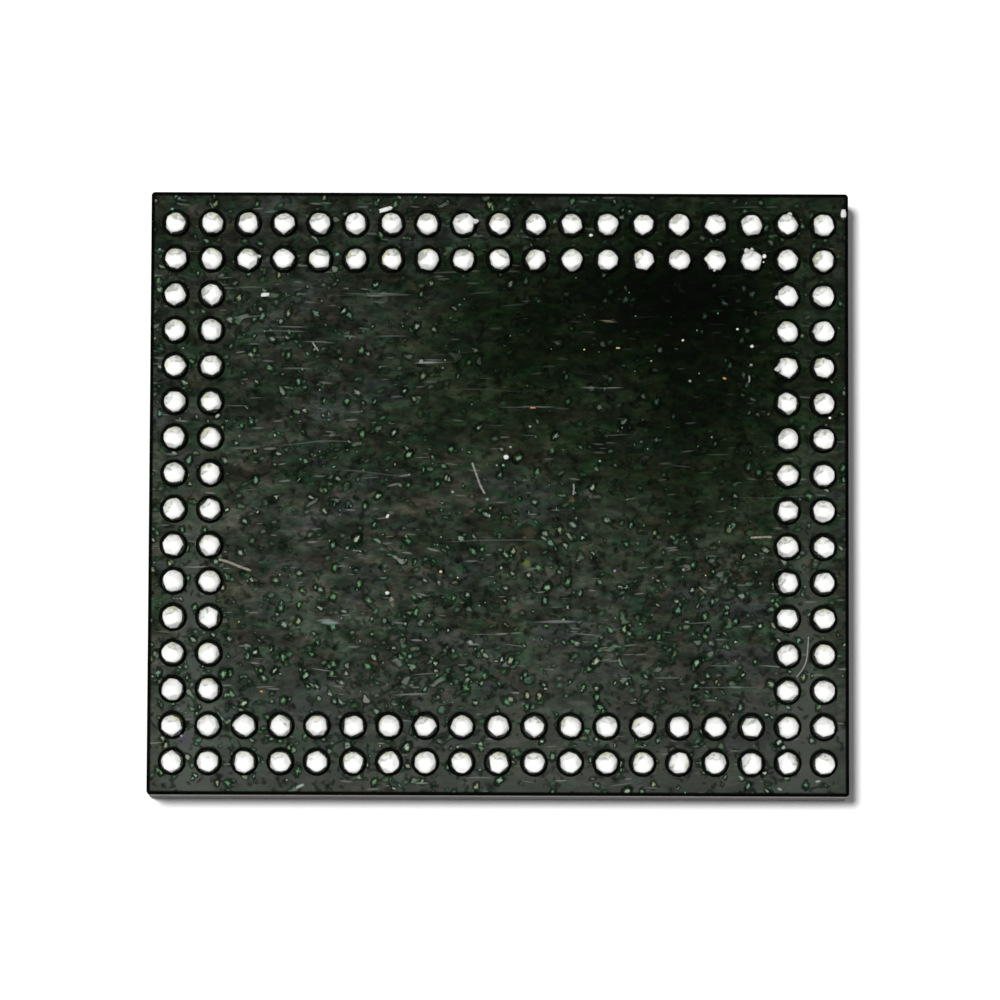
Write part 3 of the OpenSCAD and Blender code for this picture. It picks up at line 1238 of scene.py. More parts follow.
class LintTone(Enum):
    """Colours that lint comes in."""

    GREY = (0.32, 0.32, 0.29)
    BEIGE = (0.34, 0.31, 0.25)


class DustTone(Enum):
    """Colours that the grains of dust come in."""

    WHITE = (0.92, 0.95, 0.92)
    PALE = (0.33, 0.38, 0.32)
    GREEN = (0.10, 0.34, 0.15)
    TEAL = (0.14, 0.42, 0.32)
    YELLOW = (0.80, 0.76, 0.34)
    ORANGE = (0.70, 0.30, 0.10)
    VIOLET = (0.42, 0.30, 0.62)


GREY, BEIGE = LintTone
WHITE, PALE, GREEN, TEAL, YELLOW, ORANGE, VIOLET = DustTone


# ---------------------------------------------------------------- shapes


class Shape:
    """The points and faces of one piece, gathered in millimetres."""

    def __init__(self) -> None:
        """Start with nothing."""
        self.points: list[tuple[float, float, float]] = []
        self.faces: list[tuple[int, ...]] = []
        self.marks: dict[str, list[float]] = {}

    def point(self, x: float, y: float, z: float, **marks: float) -> int:
        """Add one point.

        Args:
            x: place along X.
            y: place along Y.
            z: place along Z.
            marks: values that the material reads there, by name.

        Returns:
            The point's number.
        """
        self.points.append((x, y, z))
        for name, value in marks.items():
            self.marks.setdefault(name, []).append(value)
        return len(self.points) - 1

    def strip(self, lower: Sequence[int], upper: Sequence[int]) -> None:
        """Join two closed rings of as many points, which run left to right as seen from outside."""
        count = len(lower)
        for k in range(count):
            n = (k + 1) % count
            self.faces.append((lower[k], lower[n], upper[n], upper[k]))

    def tube(self, rings: Sequence[Sequence[int]]) -> None:
        """Join closed rings, each to the next one above it."""
        for lower, upper in zip(rings, rings[1:]):
            self.strip(lower, upper)

    def fan(self, ring: Sequence[int], tip: int) -> None:
        """Close a ring with triangles to one point."""
        for k in range(len(ring)):
            self.faces.append((ring[k], ring[(k + 1) % len(ring)], tip))

    def piece(self, name: str, material: Material, sharp: float | None = None) -> bpy.types.Object:
        """Make the Blender object.

        Args:
            name: its name.
            material: what it wears.
            sharp: angle in degrees above which an edge is left sharp, or None for none.

        Returns:
            The object, riding on the part's body.
        """
        mesh = bpy.data.meshes.new(name)
        mesh.from_pydata([tuple(c * MM for c in p) for p in self.points], [], self.faces)
        for mark, values in self.marks.items():
            mesh.attributes.new(mark, "FLOAT", "POINT").data.foreach_set("value", values)
        mesh.polygons.foreach_set("use_smooth", [True] * len(mesh.polygons))
        if sharp is not None:
            mesh.set_sharp_from_angle(angle=math.radians(sharp))
        mesh.update()
        mesh.materials.append(material)
        made = bpy.data.objects.new(name, mesh)
        bpy.context.scene.collection.objects.link(made)
        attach(made, BODY)
        log.info("%s: %d points, %d faces", name, len(mesh.vertices), len(mesh.polygons))
        return made


def smooth(value: float, low: float, high: float) -> float:
    """Return 0 below low, 1 above high and a smooth rise between them."""
    t = min(1.0, max(0.0, (value - low) / (high - low)))
    return t * t * (3 - 2 * t)


@dataclass(frozen=True)
class Pip:
    """A lump or spike of solder that stands out of one ball, with its angles in degrees."""

    row: str
    column: int
    azimuth: float
    reach: float
    width: float = 14.0
    polar: float = 72.0
    power: float = 2.0


@dataclass(frozen=True)
class PaintedShading:
    """Where one ball has painted shade and where a painted yellow reflection, with the share of each."""

    back_shade_way: Vector
    back_shade_share: float
    warm_way: float
    warm_share: float
    seed: int

    def dull(self, way: Vector) -> float:
        """Work out how much painted shade the skin has, in waves round the shaded place.

        Args:
            way: direction from the ball's middle.

        Returns:
            How much painted shade it has.
        """
        toward = way.dot(self.back_shade_way)
        wave = math.sin(26 * toward + 3 * noise.noise(way * 3 + Vector((0, self.seed, 0))))
        return smooth(toward, 0.55, 0.9) * self.back_shade_share * (0.45 + 0.75 * smooth(wave, -0.2, 0.9))

    def warm(self, azimuth: float, outward: float) -> float:
        """Work out how much painted yellow reflection the skin has.

        Args:
            azimuth: azimuth in degrees.
            outward: how far out on the crown it lies, with 1 at the crown's edge.

        Returns:
            How much painted yellow reflection it has.
        """
        facing = smooth(math.cos(math.radians(azimuth - self.warm_way)), 0.35, 0.95)
        return smooth(outward, 0.55, 0.92) * facing * self.warm_share


@dataclass(frozen=True)
class SolderBall:
    """One reflowed solder ball on its land, with the flats and lumps of its own seed."""

    x: float
    y: float
    middle: float
    radius: float
    seat: float
    seed: int
    pips: tuple[Pip, ...] = ()
    rings: int = 26
    spokes: int = 40
    fullness: float = 2.4
    crown_reach: float = 0.95
    front_crown: float = 0.04
    crown_edge: Span = (0.93, 1.04)
    rounding: float = 0.05
    dent: float = 0.020
    roughness: float = 0.006

    def flats(self, rng: random.Random) -> list[tuple[Vector, float]]:
        """Draw the ball's flats.

        Args:
            rng: source of the ball's chances.

        Returns:
            Each flat's direction and its distance from the middle, in radii.
        """
        found = []
        for _ in range(rng.randint(2, 4)):
            found.append((self.toward(rng.uniform(0, 360), rng.uniform(48, 80)), rng.uniform(0.93, 0.99)))
        for _ in range(rng.randint(1, 3)):
            found.append((self.toward(rng.gauss(118, 50), rng.uniform(15, 42)), rng.uniform(0.975, 0.998)))
        return found

    def toward(self, azimuth: float, polar: float) -> Vector:
        """Return the direction at an azimuth and polar angle in degrees."""
        a, p = math.radians(azimuth), math.radians(polar)
        return Vector((math.sin(p) * math.cos(a), math.sin(p) * math.sin(a), math.cos(p)))

    def reach(self, way: Vector, flats: Iterable[tuple[Vector, float]]) -> float:
        """Work out how far the ball's skin is from its middle.

        Args:
            way: direction from the middle.
            flats: the ball's flats.

        Returns:
            The distance, in radii.
        """
        level = math.hypot(way.x, way.y)
        far = 1.0
        if way.z > 0:
            far = (way.z**self.fullness + level**self.fullness) ** (-1 / self.fullness)
        for flat, depth in flats:
            facing = way.dot(flat)
            if facing > 0.2:
                cut = depth / facing
                blend = max(0.0, self.rounding - abs(cut - far)) / self.rounding
                far = min(far, cut) - blend * blend * self.rounding / 4
        far -= self.dent * (noise.noise(way * 1.9 + Vector((self.seed, 0, 0))) + 1) / 2
        far -= self.roughness * (noise.noise(way * 6.0 + Vector((0, 0, self.seed))) + 1) / 2
        for pip in self.pips:
            apart = way.angle(self.toward(pip.azimuth, pip.polar))
            far += pip.reach * math.exp(-((apart / math.radians(pip.width)) ** pip.power))
        return far

    def corners(self, rng: random.Random) -> list[tuple[float, float]]:
        """Draw the uneven outline of the matt white crown, a painted highlight.

        Args:
            rng: source of the ball's chances.

        Returns:
            Each corner's angle in degrees and its reach in radii, by rising angle.
        """
        count = rng.randint(6, 10)
        start = rng.uniform(0, 360)
        found = []
        for k in range(count):
            angle = start + 360 * (k + rng.uniform(-0.25, 0.25)) / count
            found.append((angle % 360, self.crown_reach + rng.uniform(-0.11, 0.07)))
        return sorted(found)

    def painted_shading(self, rng: random.Random) -> PaintedShading:
        """Draw where the ball has painted shade and a painted yellow reflection, with more painted shade
        towards the back of the part.

        Args:
            rng: source of the ball's chances.

        Returns:
            The ball's painted shade and painted reflection.
        """
        back_shade_way = self.toward(rng.gauss(108, 25), 54)
        back_shade_share = rng.uniform(0.6, 1.5) * (0.8 + 0.7 * smooth(self.y, -2.0, 3.5))
        return PaintedShading(back_shade_way, back_shade_share, rng.gauss(100, 30), rng.uniform(0.1, 1.0), self.seed)

    def outline(self, azimuth: float, corners: list[tuple[float, float]]) -> float:
        """Find the crown's reach at an azimuth, along the straight line between two corners.

        Args:
            azimuth: azimuth in degrees.
            corners: the crown's corners, by rising angle.

        Returns:
            The reach, in radii.
        """
        for k, (angle, far) in enumerate(corners):
            before, near = corners[k - 1]
            span = (angle - before) % 360
            into = (azimuth - before) % 360
            if into <= span:
                a, b = math.radians(span), math.radians(into)
                return near * far * math.sin(a) / (near * math.sin(b) + far * math.sin(a - b))
        return self.crown_reach

    def build(self, shape: Shape) -> None:
        """Add the ball to a shape.

        Args:
            shape: what the ball's points and faces go into.
        """
        rng = random.Random(self.seed)
        flats, corners, painted_shading = self.flats(rng), self.corners(rng), self.painted_shading(rng)
        foot_turn = math.acos((self.seat - self.middle) / self.radius)
        rings = []
        for k in range(self.rings + 1):
            ring = []
            for s in range(self.spokes if k else 1):
                azimuth = 360 * s / self.spokes
                way = self.toward(azimuth, math.degrees(foot_turn * k / self.rings))
                far = self.radius * (self.reach(way, flats) if k < self.rings else 1.0)
                # The crown's matt white is a painted highlight, reaching further on the front; the two other
                # marks hold painted shade and a painted yellow reflection.
                edge = self.outline(azimuth, corners) + self.front_crown * max(0.0, -way.y)
                outward = math.hypot(way.x, way.y) * far / self.radius / edge
                crown = (1 - smooth(outward, *self.crown_edge)) if way.z > 0 else 0.0
                at = Vector((self.x, self.y, self.middle)) + way * far
                at.z = min(at.z, self.middle + self.radius)
                warm = painted_shading.warm(azimuth, outward)
                ring.append(shape.point(*at, crown=crown, dull=painted_shading.dull(way), warm=warm))
            rings.append(ring)
        top = rings.pop(0)[0]
        shape.fan(rings[0], top)
        for upper, lower in zip(rings, rings[1:]):
            shape.strip(lower, upper)
        foot = shape.point(self.x, self.y, self.seat, crown=0.0, dull=0.0, warm=0.0)
        shape.fan(rings[-1][::-1], foot)


@dataclass
class BallField:
    """The rows of solder balls, in two rings round an empty middle."""

    material: Material
    rows: str = "abcdefghjklmnprt"
    columns: int = 19
    pitch: float = 0.5
    ring: int = 2
    pips: tuple[Pip, ...] = (
        Pip("b", 3, 12, 0.24, 11, 80, 4),
        Pip("a", 9, 12, 0.40, 13, 78, 4),
        Pip("a", 18, 78, 0.20, 15, 80, 4),
        Pip("b", 17, 118, 0.26, 14, 72, 4),
        Pip("b", 17, 88, 0.20, 9, 74, 4),
        Pip("b", 16, 262, 0.16, 13),
        Pip("b", 16, 172, 0.12, 13),
        Pip("b", 18, 118, 0.14, 12),
        Pip("b", 18, 62, 0.12, 11),
        Pip("c", 18, 187, 0.30, 12),
        Pip("e", 18, 189, 0.30, 12),
        Pip("e", 18, 128, 0.14, 9),
        Pip("d", 19, 178, 0.12, 14),
        Pip("b", 2, 100, 0.06, 12),
        Pip("r", 3, 176, 0.22, 12),
        Pip("c", 19, 176, 0.12, 12),
    )

    def places(self) -> dict[str, list[tuple[int, float, float]]]:
        """Read the balls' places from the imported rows.

        Returns:
            Each row's balls, as column, X and Y.
        """
        found = {}
        for row in self.rows:
            low, high = (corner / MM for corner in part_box(f"ball_row_{row}"))
            full = self.outer(self.rows.index(row), len(self.rows))
            kept = [c for c in range(self.columns) if full or self.outer(c, self.columns)]
            middle = (self.columns - 1) / 2
            found[row] = [(c + 1, (c - middle) * self.pitch, (low.y + high.y) / 2) for c in kept]
        return found

    def outer(self, number: int, count: int) -> bool:
        """Tell whether one of so many rows or columns lies in the rings of balls."""
        return min(number, count - 1 - number) < self.ring

    def size(self) -> tuple[float, float, float]:
        """Read the balls' size from a packed row.

        Returns:
            The radius, and the heights of the middles and feet.
        """
        low, high = (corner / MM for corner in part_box(f"ball_row_{self.rows[0]}"))
        radius = (high.y - low.y) / 2
        return radius, high.z - radius, low.z

    def build(self) -> None:
        """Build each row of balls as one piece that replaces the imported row."""
        radius, middle, seat = self.size()
        for number, (row, balls) in enumerate(self.places().items()):
            shape = Shape()
            for column, x, y in balls:
                pips = tuple(p for p in self.pips if (p.row, p.column) == (row, column))
                SolderBall(x, y, middle, radius, seat, 100 * number + column, pips).build(shape)
            made = shape.piece(f"solder_balls_{row}", self.material, sharp=60)
            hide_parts(f"ball_row_{row}")


@dataclass
class MaskSheet:
    """The ball side's solder mask: a thin sheet with a lipped opening round each ball and a sawn border.

    An opening's upper rim is tighter than its foot by the undercut, and stands off it by the lean.
    """

    material: Material
    openings: list[Point]
    opening_d: float = 0.40
    lip: float = 0.007
    collar: float = 0.024
    undercut: float = 0.006
    lean: Point = (-0.002, 0.008)
    corner: float = 0.05
    step: float = 0.07
    spokes: int = 32
    wobble: float = 0.0025
    wander: float = 0.0010
    edge_depth: float = 0.010
    edge_wear: float = 0.002
    nicks: int = 26
    nick_depths: Span = (0.006, 0.02)
    nick_reach: float = 1.6
    seed: int = 11

    def __post_init__(self) -> None:
        """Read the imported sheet's box and start the shape."""
        self.low, self.high = (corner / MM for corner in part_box("ball_side_mask"))
        self.rng = random.Random(self.seed)
        self.shape = Shape()

    def build(self) -> None:
        """Build the sheet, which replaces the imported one."""
        rims = [self.opening(x, y) for x, y in self.openings]
        border = self.border()
        self.cover([r["top"] for r in rims], border["top"], self.high.z, True)
        self.cover([r["bottom"] for r in rims], border["bottom"], self.low.z, False)
        made = self.shape.piece("solder_mask_sheet", self.material, sharp=50)
        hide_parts("ball_side_mask")

    def opening(self, x: float, y: float) -> dict[str, list[int]]:
        """Build one opening's wall and rounded lip.

        Args:
            x: middle of the opening along X.
            y: middle of the opening along Y.

        Returns:
            The rings that the upper and lower faces join on to, by name.
        """
        radius = self.opening_d / 2
        wobble = [self.rng.uniform(-self.wobble, self.wobble) for _ in range(self.spokes)]
        levels = [(0.0, self.low.z), (0.0, self.high.z - self.lip)]
        for k in (1, 2, 3):
            turn = math.pi / 2 * k / 3
            levels.append((self.lip * (1 - math.cos(turn)), self.high.z - self.lip * (1 - math.sin(turn))))
        levels.append((self.collar, self.high.z))
        rings = []
        for out, z in levels:
            ring = []
            ring_shade = 1 - smooth(out, self.lip, self.collar)
            raised = (z - self.low.z) / (self.high.z - self.low.z)
            over_x, over_y = (raised * way for way in self.lean)
            for k in range(self.spokes):
                turn = 2 * math.pi * k / self.spokes
                far = radius + out + wobble[k] - raised * self.undercut
                # The lip mark holds painted shade round the opening, strongest on the back side.
                lip = ring_shade * max(0.0, 0.1 + 0.9 * math.sin(turn))
                at_x, at_y = x + over_x + far * math.cos(turn), y + over_y + far * math.sin(turn)
                ring.append(self.shape.point(at_x, at_y, z, lip=lip))
            rings.append(ring)
        for lower, upper in zip(rings, rings[1:]):
            self.shape.strip(lower[::-1], upper[::-1])
        return {"bottom": rings[0], "top": rings[-1]}

    def outline(self) -> list[Point]:
        """Work out the rounded outline, at even steps on its straight sides.

        Returns:
            Its points.
        """
        middle_x, middle_y = self.high.x - self.corner, self.high.y - self.corner
        points: list[Vector] = []
        for turn, (sx, sy) in enumerate(((1, -1), (1, 1), (-1, 1), (-1, -1))):
            for k in range(6):
                angle = math.pi / 2 * (turn - 1 + k / 5)
                out = Vector((math.cos(angle), math.sin(angle))) * self.corner
                points.append(Vector((sx * middle_x, sy * middle_y)) + out)
        full: list[Point] = []
        for k, start in enumerate(points):
            end = points[(k + 1) % len(points)]
            count = max(1, round(math.dist(start, end) / (self.step * 0.6)))
            full += [tuple(start.lerp(end, n / count)) for n in range(count)]
        return full

    def border(self) -> dict[str, list[int]]:
        """Build the sawn border, with small nicks in its upper edge.

        Returns:
            The rings that the upper and lower faces join on to, by name.
        """
        points = self.outline()
        count = len(points)
        nicks = [(self.rng.randrange(count), self.rng.uniform(*self.nick_depths)) for _ in range(self.nicks)]
        rings: list[list[int]] = [[], [], [], []]
        for k, (x, y) in enumerate(points):
            before, after = points[k - 1], points[(k + 1) % count]
            way = Vector((before[1] - after[1], after[0] - before[0])).normalized()
            bite = self.edge_wear * (1 + abs(noise.noise(Vector((x * 6, y * 6, 0)))))
            for at, deep in nicks:
                off = min((k - at) % count, (at - k) % count)
                bite += deep * max(0.0, 1 - off / self.nick_reach)
            for ring, inset, z in (
                (rings[0], 0.0, self.low.z),
                (rings[1], 0.0, self.high.z - self.edge_depth),
                (rings[2], 0.2 * self.edge_depth + bite * 0.6, self.high.z - 0.3 * self.edge_depth),
                (rings[3], self.edge_depth + bite, self.high.z),
            ):
                ring.append(self.shape.point(x + way.x * inset, y + way.y * inset, z, lip=0.0))
        self.shape.tube(rings)
        return {"bottom": rings[0], "top": rings[-1]}

    def scatter(self) -> list[Point]:
        """Strew the loose points of the upper face, clear of the openings and the border.

        Returns:
            The points.
        """
        found = []
        reach = self.opening_d / 2 + self.collar + self.step * 0.45
        columns = int((self.high.x - self.low.x) / self.step)
        rows = int((self.high.y - self.low.y) / self.step)
        for i in range(1, columns):
            for j in range(1, rows):
                x = self.low.x + self.step * (i + self.rng.uniform(-0.25, 0.25))
                y = self.low.y + self.step * (j + self.rng.uniform(-0.25, 0.25))
                if abs(x) > self.high.x - self.step or abs(y) > self.high.y - self.step:
                    continue
                if all(math.dist((x, y), p) > reach for p in self.openings):
                    found.append((x, y))
        return found

    def cover(self, rims: list[list[int]], border: list[int], level: float, upper: bool) -> None:
        """Fill the face between the border and the openings.

        Args:
            rims: the openings' rings.
            border: the border's ring.
            level: height of the face.
            upper: whether it is the upper face, which also has loose points.
        """
        numbers, owner, flat, edges = [], [], [], []
        for which, ring in enumerate([*rims, border]):
            first = len(flat)
            for k, number in enumerate(ring):
                x, y, _ = self.shape.points[number]
                numbers.append(number)
                owner.append(which)
                flat.append(Vector((x, y)))
                edges.append((first + k, first + (k + 1) % len(ring)))
        if upper:
            for x, y in self.scatter():
                dip = self.wander * noise.noise(Vector((x * 1.7, y * 1.7, 3.0)))
                numbers.append(self.shape.point(x, y, level - self.wander + dip, lip=0.0))
                owner.append(-1)
                flat.append(Vector((x, y)))
        _, _, triangles, origin, _, _ = delaunay_2d_cdt(flat, edges, [], 0, 1e-7)
        edge_of = len(rims)
        for triangle in triangles:
            ids = [origin[v][0] for v in triangle]
            owners = {owner[i] for i in ids}
            if len(owners) == 1 and owners != {-1}:
                if owners != {edge_of} or not self.inside(flat, ids, border):
                    continue
            ring = [numbers[i] for i in ids]
            self.shape.faces.append(tuple(ring if upper else ring[::-1]))

    def inside(self, flat: list[Vector], ids: list[int], border: list[int]) -> bool:
        """Tell whether a triangle on the border lies within the outline.

        Args:
            flat: all points of the face.
            ids: the triangle's three points.
            border: the border's ring.

        Returns:
            True if it does.
        """
        x = sum(flat[i].x for i in ids) / 3
        y = sum(flat[i].y for i in ids) / 3
        within = False
        ring = [self.shape.points[n] for n in border]
        for start, end in zip(ring, ring[1:] + ring[:1]):
            if (start[1] > y) != (end[1] > y):
                if x < start[0] + (y - start[1]) * (end[0] - start[0]) / (end[1] - start[1]):
                    within = not within
        return within


# ---------------------------------------------------------------- dirt


@dataclass(frozen=True)
class Grain:
    """A grain or flake that lies on the mask, with its length, width and turn in degrees."""

    x: float
    y: float
    length: float
    tone: DustTone = PALE
    width: float = 0.0
    turn: float = 0.0


@dataclass(frozen=True)
class Fibre:
    """A lint fibre that lies on the mask along a few places, with its thickness and colour."""

    name: str
    thick: float
    path: tuple[Point, ...]
    tone: LintTone = GREY


@dataclass(frozen=True)
class Bead:
    """A stray bead of solder on the mask."""

    x: float
    y: float
    radius: float


@dataclass
class Debris:
    """What lies on the mask: dust, flakes, lint and stray beads of solder."""

    palette: Palette
    face: float
    half: Point
    openings: list[Point]
    border: float = 0.05
    clear: float = 0.22
    strewn: int = 150
    strewn_lengths: Span = (0.014, 0.032)
    bare: Shade = Shade(2.6, 2.5, 2.0, 1.6, 0.6)
    sink: float = 0.002
    tallest: float = 0.02
    profile: tuple[Point, ...] = ((1.0, 0.0), (0.92, 0.45), (0.6, 0.9))
    fibre_sides: int = 8
    fibre_lift: float = 0.45
    seed: int = 5
    grains: tuple[Grain, ...] = (
        Grain(0.10, 0.50, 0.085, WHITE),
        Grain(0.06, 0.385, 0.05, TEAL),
        Grain(-0.03, 0.385, 0.035, PALE),
        Grain(0.16, 0.64, 0.045, PALE),
        Grain(3.51, 2.06, 0.055, WHITE),
        Grain(3.50, 1.80, 0.05, PALE),
        Grain(3.31, 2.30, 0.045, WHITE),
        Grain(2.55, 2.14, 0.045, WHITE),
        Grain(2.65, 1.57, 0.05, PALE),
        Grain(2.11, 1.85, 0.035, PALE),
        Grain(1.27, 3.61, 0.06, WHITE),
        Grain(-0.80, -1.10, 0.05, YELLOW),
        Grain(1.65, 2.03, 0.06, YELLOW, 0.02),
        Grain(-1.54, -1.40, 0.065, WHITE),
        Grain(-1.54, -0.33, 0.07, WHITE, 0.04, 60),
        Grain(3.13, 1.61, 0.055, ORANGE, 0.035, -15),
        Grain(0.47, 1.19, 0.08, ORANGE, 0.025),
        Grain(1.61, -1.08, 0.045, VIOLET),
        Grain(-0.64, 0.01, 0.05, PALE),
        Grain(1.40, 0.45, 0.045, PALE),
        Grain(0.43, 0.93, 0.045, PALE),
        Grain(-0.16, -0.09, 0.05, TEAL),
        Grain(-0.13, -0.32, 0.05, PALE, 0.03, 90),
        Grain(-4.56, 3.96, 0.05, TEAL),
        Grain(-4.73, 3.39, 0.045, TEAL),
        Grain(-2.26, 3.33, 0.06, TEAL),
        Grain(-4.37, -3.39, 0.045, VIOLET),
        Grain(-3.27, -2.77, 0.05, ORANGE, 0.03),
        Grain(-3.73, -2.82, 0.05, GREEN),
        Grain(-1.59, 3.965, 0.20, WHITE, 0.062, 17),
        Grain(-3.26, 2.76, 0.13, WHITE, 0.06, 5),
        Grain(4.785, 3.93, 0.125, WHITE, 0.08, 90),
        Grain(4.42, -3.99, 0.08, PALE, 0.04, 10),
        Grain(3.89, -4.10, 0.07, PALE, 0.04, -20),
        Grain(-2.73, -4.08, 0.14, PALE, 0.05, 25),
    )
    fibres: tuple[Fibre, ...] = (
        Fibre(
            "lint_curved", 0.034,
            ((-0.37, 0.42), (-0.35, 0.36), (-0.31, 0.25), (-0.26, 0.11), (-0.19, -0.02)),
        ),
        Fibre(
            "lint_beige", 0.042,
            ((-3.88, -0.94), (-3.74, -0.98), (-3.575, -1.045), (-3.42, -1.10)), BEIGE,
        ),
        Fibre("lint_right", 0.034, ((3.49, -0.615), (3.59, -0.61), (3.69, -0.605), (3.79, -0.605)), BEIGE),
        Fibre("lint_short", 0.028, ((1.035, 0.13), (1.04, 0.05), (1.03, -0.03))),
        Fibre(
            "lint_low", 0.022,
            ((4.29, -1.98), (4.28, -2.15), (4.26, -2.32), (4.20, -2.45), (4.12, -2.55)),
        ),
        Fibre("lint_slanted", 0.028, ((-2.60, 2.10), (-2.56, 2.04), (-2.51, 1.97))),
        Fibre("lint_upright", 0.026, ((3.47, 1.65), (3.475, 1.60), (3.47, 1.55))),
    )
    beads: tuple[Bead, ...] = (Bead(3.68, 3.32, 0.034), Bead(3.67, 3.24, 0.014), Bead(4.59, 1.06, 0.022))

    def build(self) -> None:
        """Build every kind of dirt, one piece a tone or fibre."""
        grains = [*self.grains, *self.strewn_grains()]
        for tone in DustTone:
            shape = Shape()
            for number, grain in enumerate(g for g in grains if g.tone is tone):
                self.lay_grain(shape, grain, number)
            shape.piece(f"dust_{tone.name.lower()}", self.palette.dust[tone])
        for fibre in self.fibres:
            self.lay_fibre(fibre)
        self.lay_beads()

    def strewn_grains(self) -> list[Grain]:
        """Strew small grains by chance, clear of the openings.

        Returns:
            The grains.
        """
        rng = random.Random(self.seed)
        tones = [GREEN] * 12 + [TEAL] * 7 + [PALE] * 14 + [YELLOW]
        reach_x, reach_y = (half - self.border for half in self.half)
        found: list[Grain] = []
        while len(found) < self.strewn:
            x, y = rng.uniform(-reach_x, reach_x), rng.uniform(-reach_y, reach_y)
            across = (x - self.bare.x) / self.bare.reach_x
            along = (y - self.bare.y) / self.bare.reach_y
            missing = self.bare.depth * math.exp(-(across**2) - along**2)
            if rng.random() < missing or any(math.dist((x, y), p) < self.clear for p in self.openings):
                continue
            length, tone = rng.uniform(*self.strewn_lengths), rng.choice(tones)
            found.append(Grain(x, y, length, tone, 0.0, rng.uniform(0, 180)))
        return found

    def lay_grain(self, shape: Shape, grain: Grain, number: int) -> None:
        """Add one grain as a small uneven lump that sits on the mask.

        Args:
            shape: what its points and faces go into.
            grain: its place, size and turn.
            number: its number among those of its tone, for its own unevenness.
        """
        rng = random.Random(1000 + number)
        width = grain.width or grain.length * rng.uniform(0.7, 0.95)
        foot, tall = self.face - self.sink, min(width / 2, self.tallest)
        turn = math.radians(grain.turn)
        spokes, fullness = (12, 0.55) if grain.width else (9, 1.0)
        rings = []
        for share, high in self.profile:
            ring = []
            for s in range(spokes):
                angle = 2 * math.pi * s / spokes
                far = share * (1 + rng.uniform(-0.16, 0.10))
                along, across = math.cos(angle), math.sin(angle)
                u = grain.length / 2 * far * math.copysign(abs(along) ** fullness, along)
                v = width / 2 * far * math.copysign(abs(across) ** fullness, across)
                x = grain.x + u * math.cos(turn) - v * math.sin(turn)
                y = grain.y + u * math.sin(turn) + v * math.cos(turn)
                ring.append(shape.point(x, y, foot + tall * high))
            rings.append(ring)
        shape.tube(rings)
        shape.fan(rings[-1], shape.point(grain.x, grain.y, foot + tall))
        shape.fan(rings[0][::-1], shape.point(grain.x, grain.y, foot))

    def lay_fibre(self, fibre: Fibre) -> None:
        """Build one fibre as a thin tube that follows its places smoothly.

        Args:
            fibre: its name, places and thickness.
        """
        path = self.curve(fibre.path, 8)
        middle = self.face + fibre.thick * self.fibre_lift
        shape = Shape()
        rings = []
        for k, (x, y) in enumerate(path):
            before, after = path[max(0, k - 1)], path[min(len(path) - 1, k + 1)]
            ahead = Vector((after[0] - before[0], after[1] - before[1])).normalized()
            end = min(k, len(path) - 1 - k)
            radius = fibre.thick / 2 * min(1.0, 0.45 + 0.3 * end) * (1 + 0.12 * math.sin(k * 1.3))
            ring = []
            for s in range(self.fibre_sides):
                angle = 2 * math.pi * s / self.fibre_sides
                out, up = radius * math.cos(angle), radius * math.sin(angle)
                ring.append(shape.point(x - ahead.y * out, y + ahead.x * out, middle + up))
            rings.append(ring)
        shape.tube(rings)
        for ring, at in ((rings[0][::-1], path[0]), (rings[-1], path[-1])):
            shape.fan(ring, shape.point(at[0], at[1], middle))
        shape.piece(fibre.name, self.palette.lint[fibre.tone])

    def curve(self, places: Sequence[Point], steps: int) -> list[Point]:
        """Work out a smooth path through some places.

        Args:
            places: the places.
            steps: steps between two of them.

        Returns:
            The path's points.
        """
        path = []
        last = len(places) - 1
        for k in range(last):
            p, q, r, s = (Vector(places[max(0, min(last, k + d))]) for d in (-1, 0, 1, 2))
            for step in range(steps):
                t = step / steps
                bend = (2 * p - 5 * q + 4 * r - s) * t**2 + (3 * q - p - 3 * r + s) * t**3
                path.append(tuple(q + ((r - p) * t + bend) / 2))
        path.append(places[-1])
        return path

    def lay_beads(self) -> None:
        """Build the stray beads of solder, which sit on the mask."""
        shape = Shape()
        for number, bead in enumerate(self.beads):
            middle = self.face + bead.radius * 0.8
            seed = 9000 + number
            ball = SolderBall(bead.x, bead.y, middle, bead.radius, self.face, seed, rings=12, spokes=18)
            ball.build(shape)
        made = shape.piece("stray_solder_beads", self.palette.solder, sharp=60)


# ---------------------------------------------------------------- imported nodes


@dataclass
class PackedNodes:
    """The CAD nodes that keep their own shape and only take a finish."""

    palette: Palette

    def dress(self) -> None:
        """Give each node its material."""
        worn = {
            "mould_cap": self.palette.mould,
            "laminate_core": self.palette.core,
            "via_barrels": self.palette.barrel,
            "via_plugs": self.palette.resin,
            "ball_side_copper": self.palette.copper,
            "die_side_copper": self.palette.copper,
            "die_flag": self.palette.copper,
            "die_side_mask": self.palette.die_mask,
            "die_attach_film": self.palette.attach,
            "silicon_die": self.palette.silicon,
        }
        for side in ("back", "right", "front", "left"):
            worn[f"bond_wires_{side}"] = self.palette.gold
        for name, material in worn.items():
            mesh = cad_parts[name].data
            mesh.materials.clear()
            mesh.materials.append(material)
            log.info("%s: dressed as %s", name, material.name)


# ---------------------------------------------------------------- studio


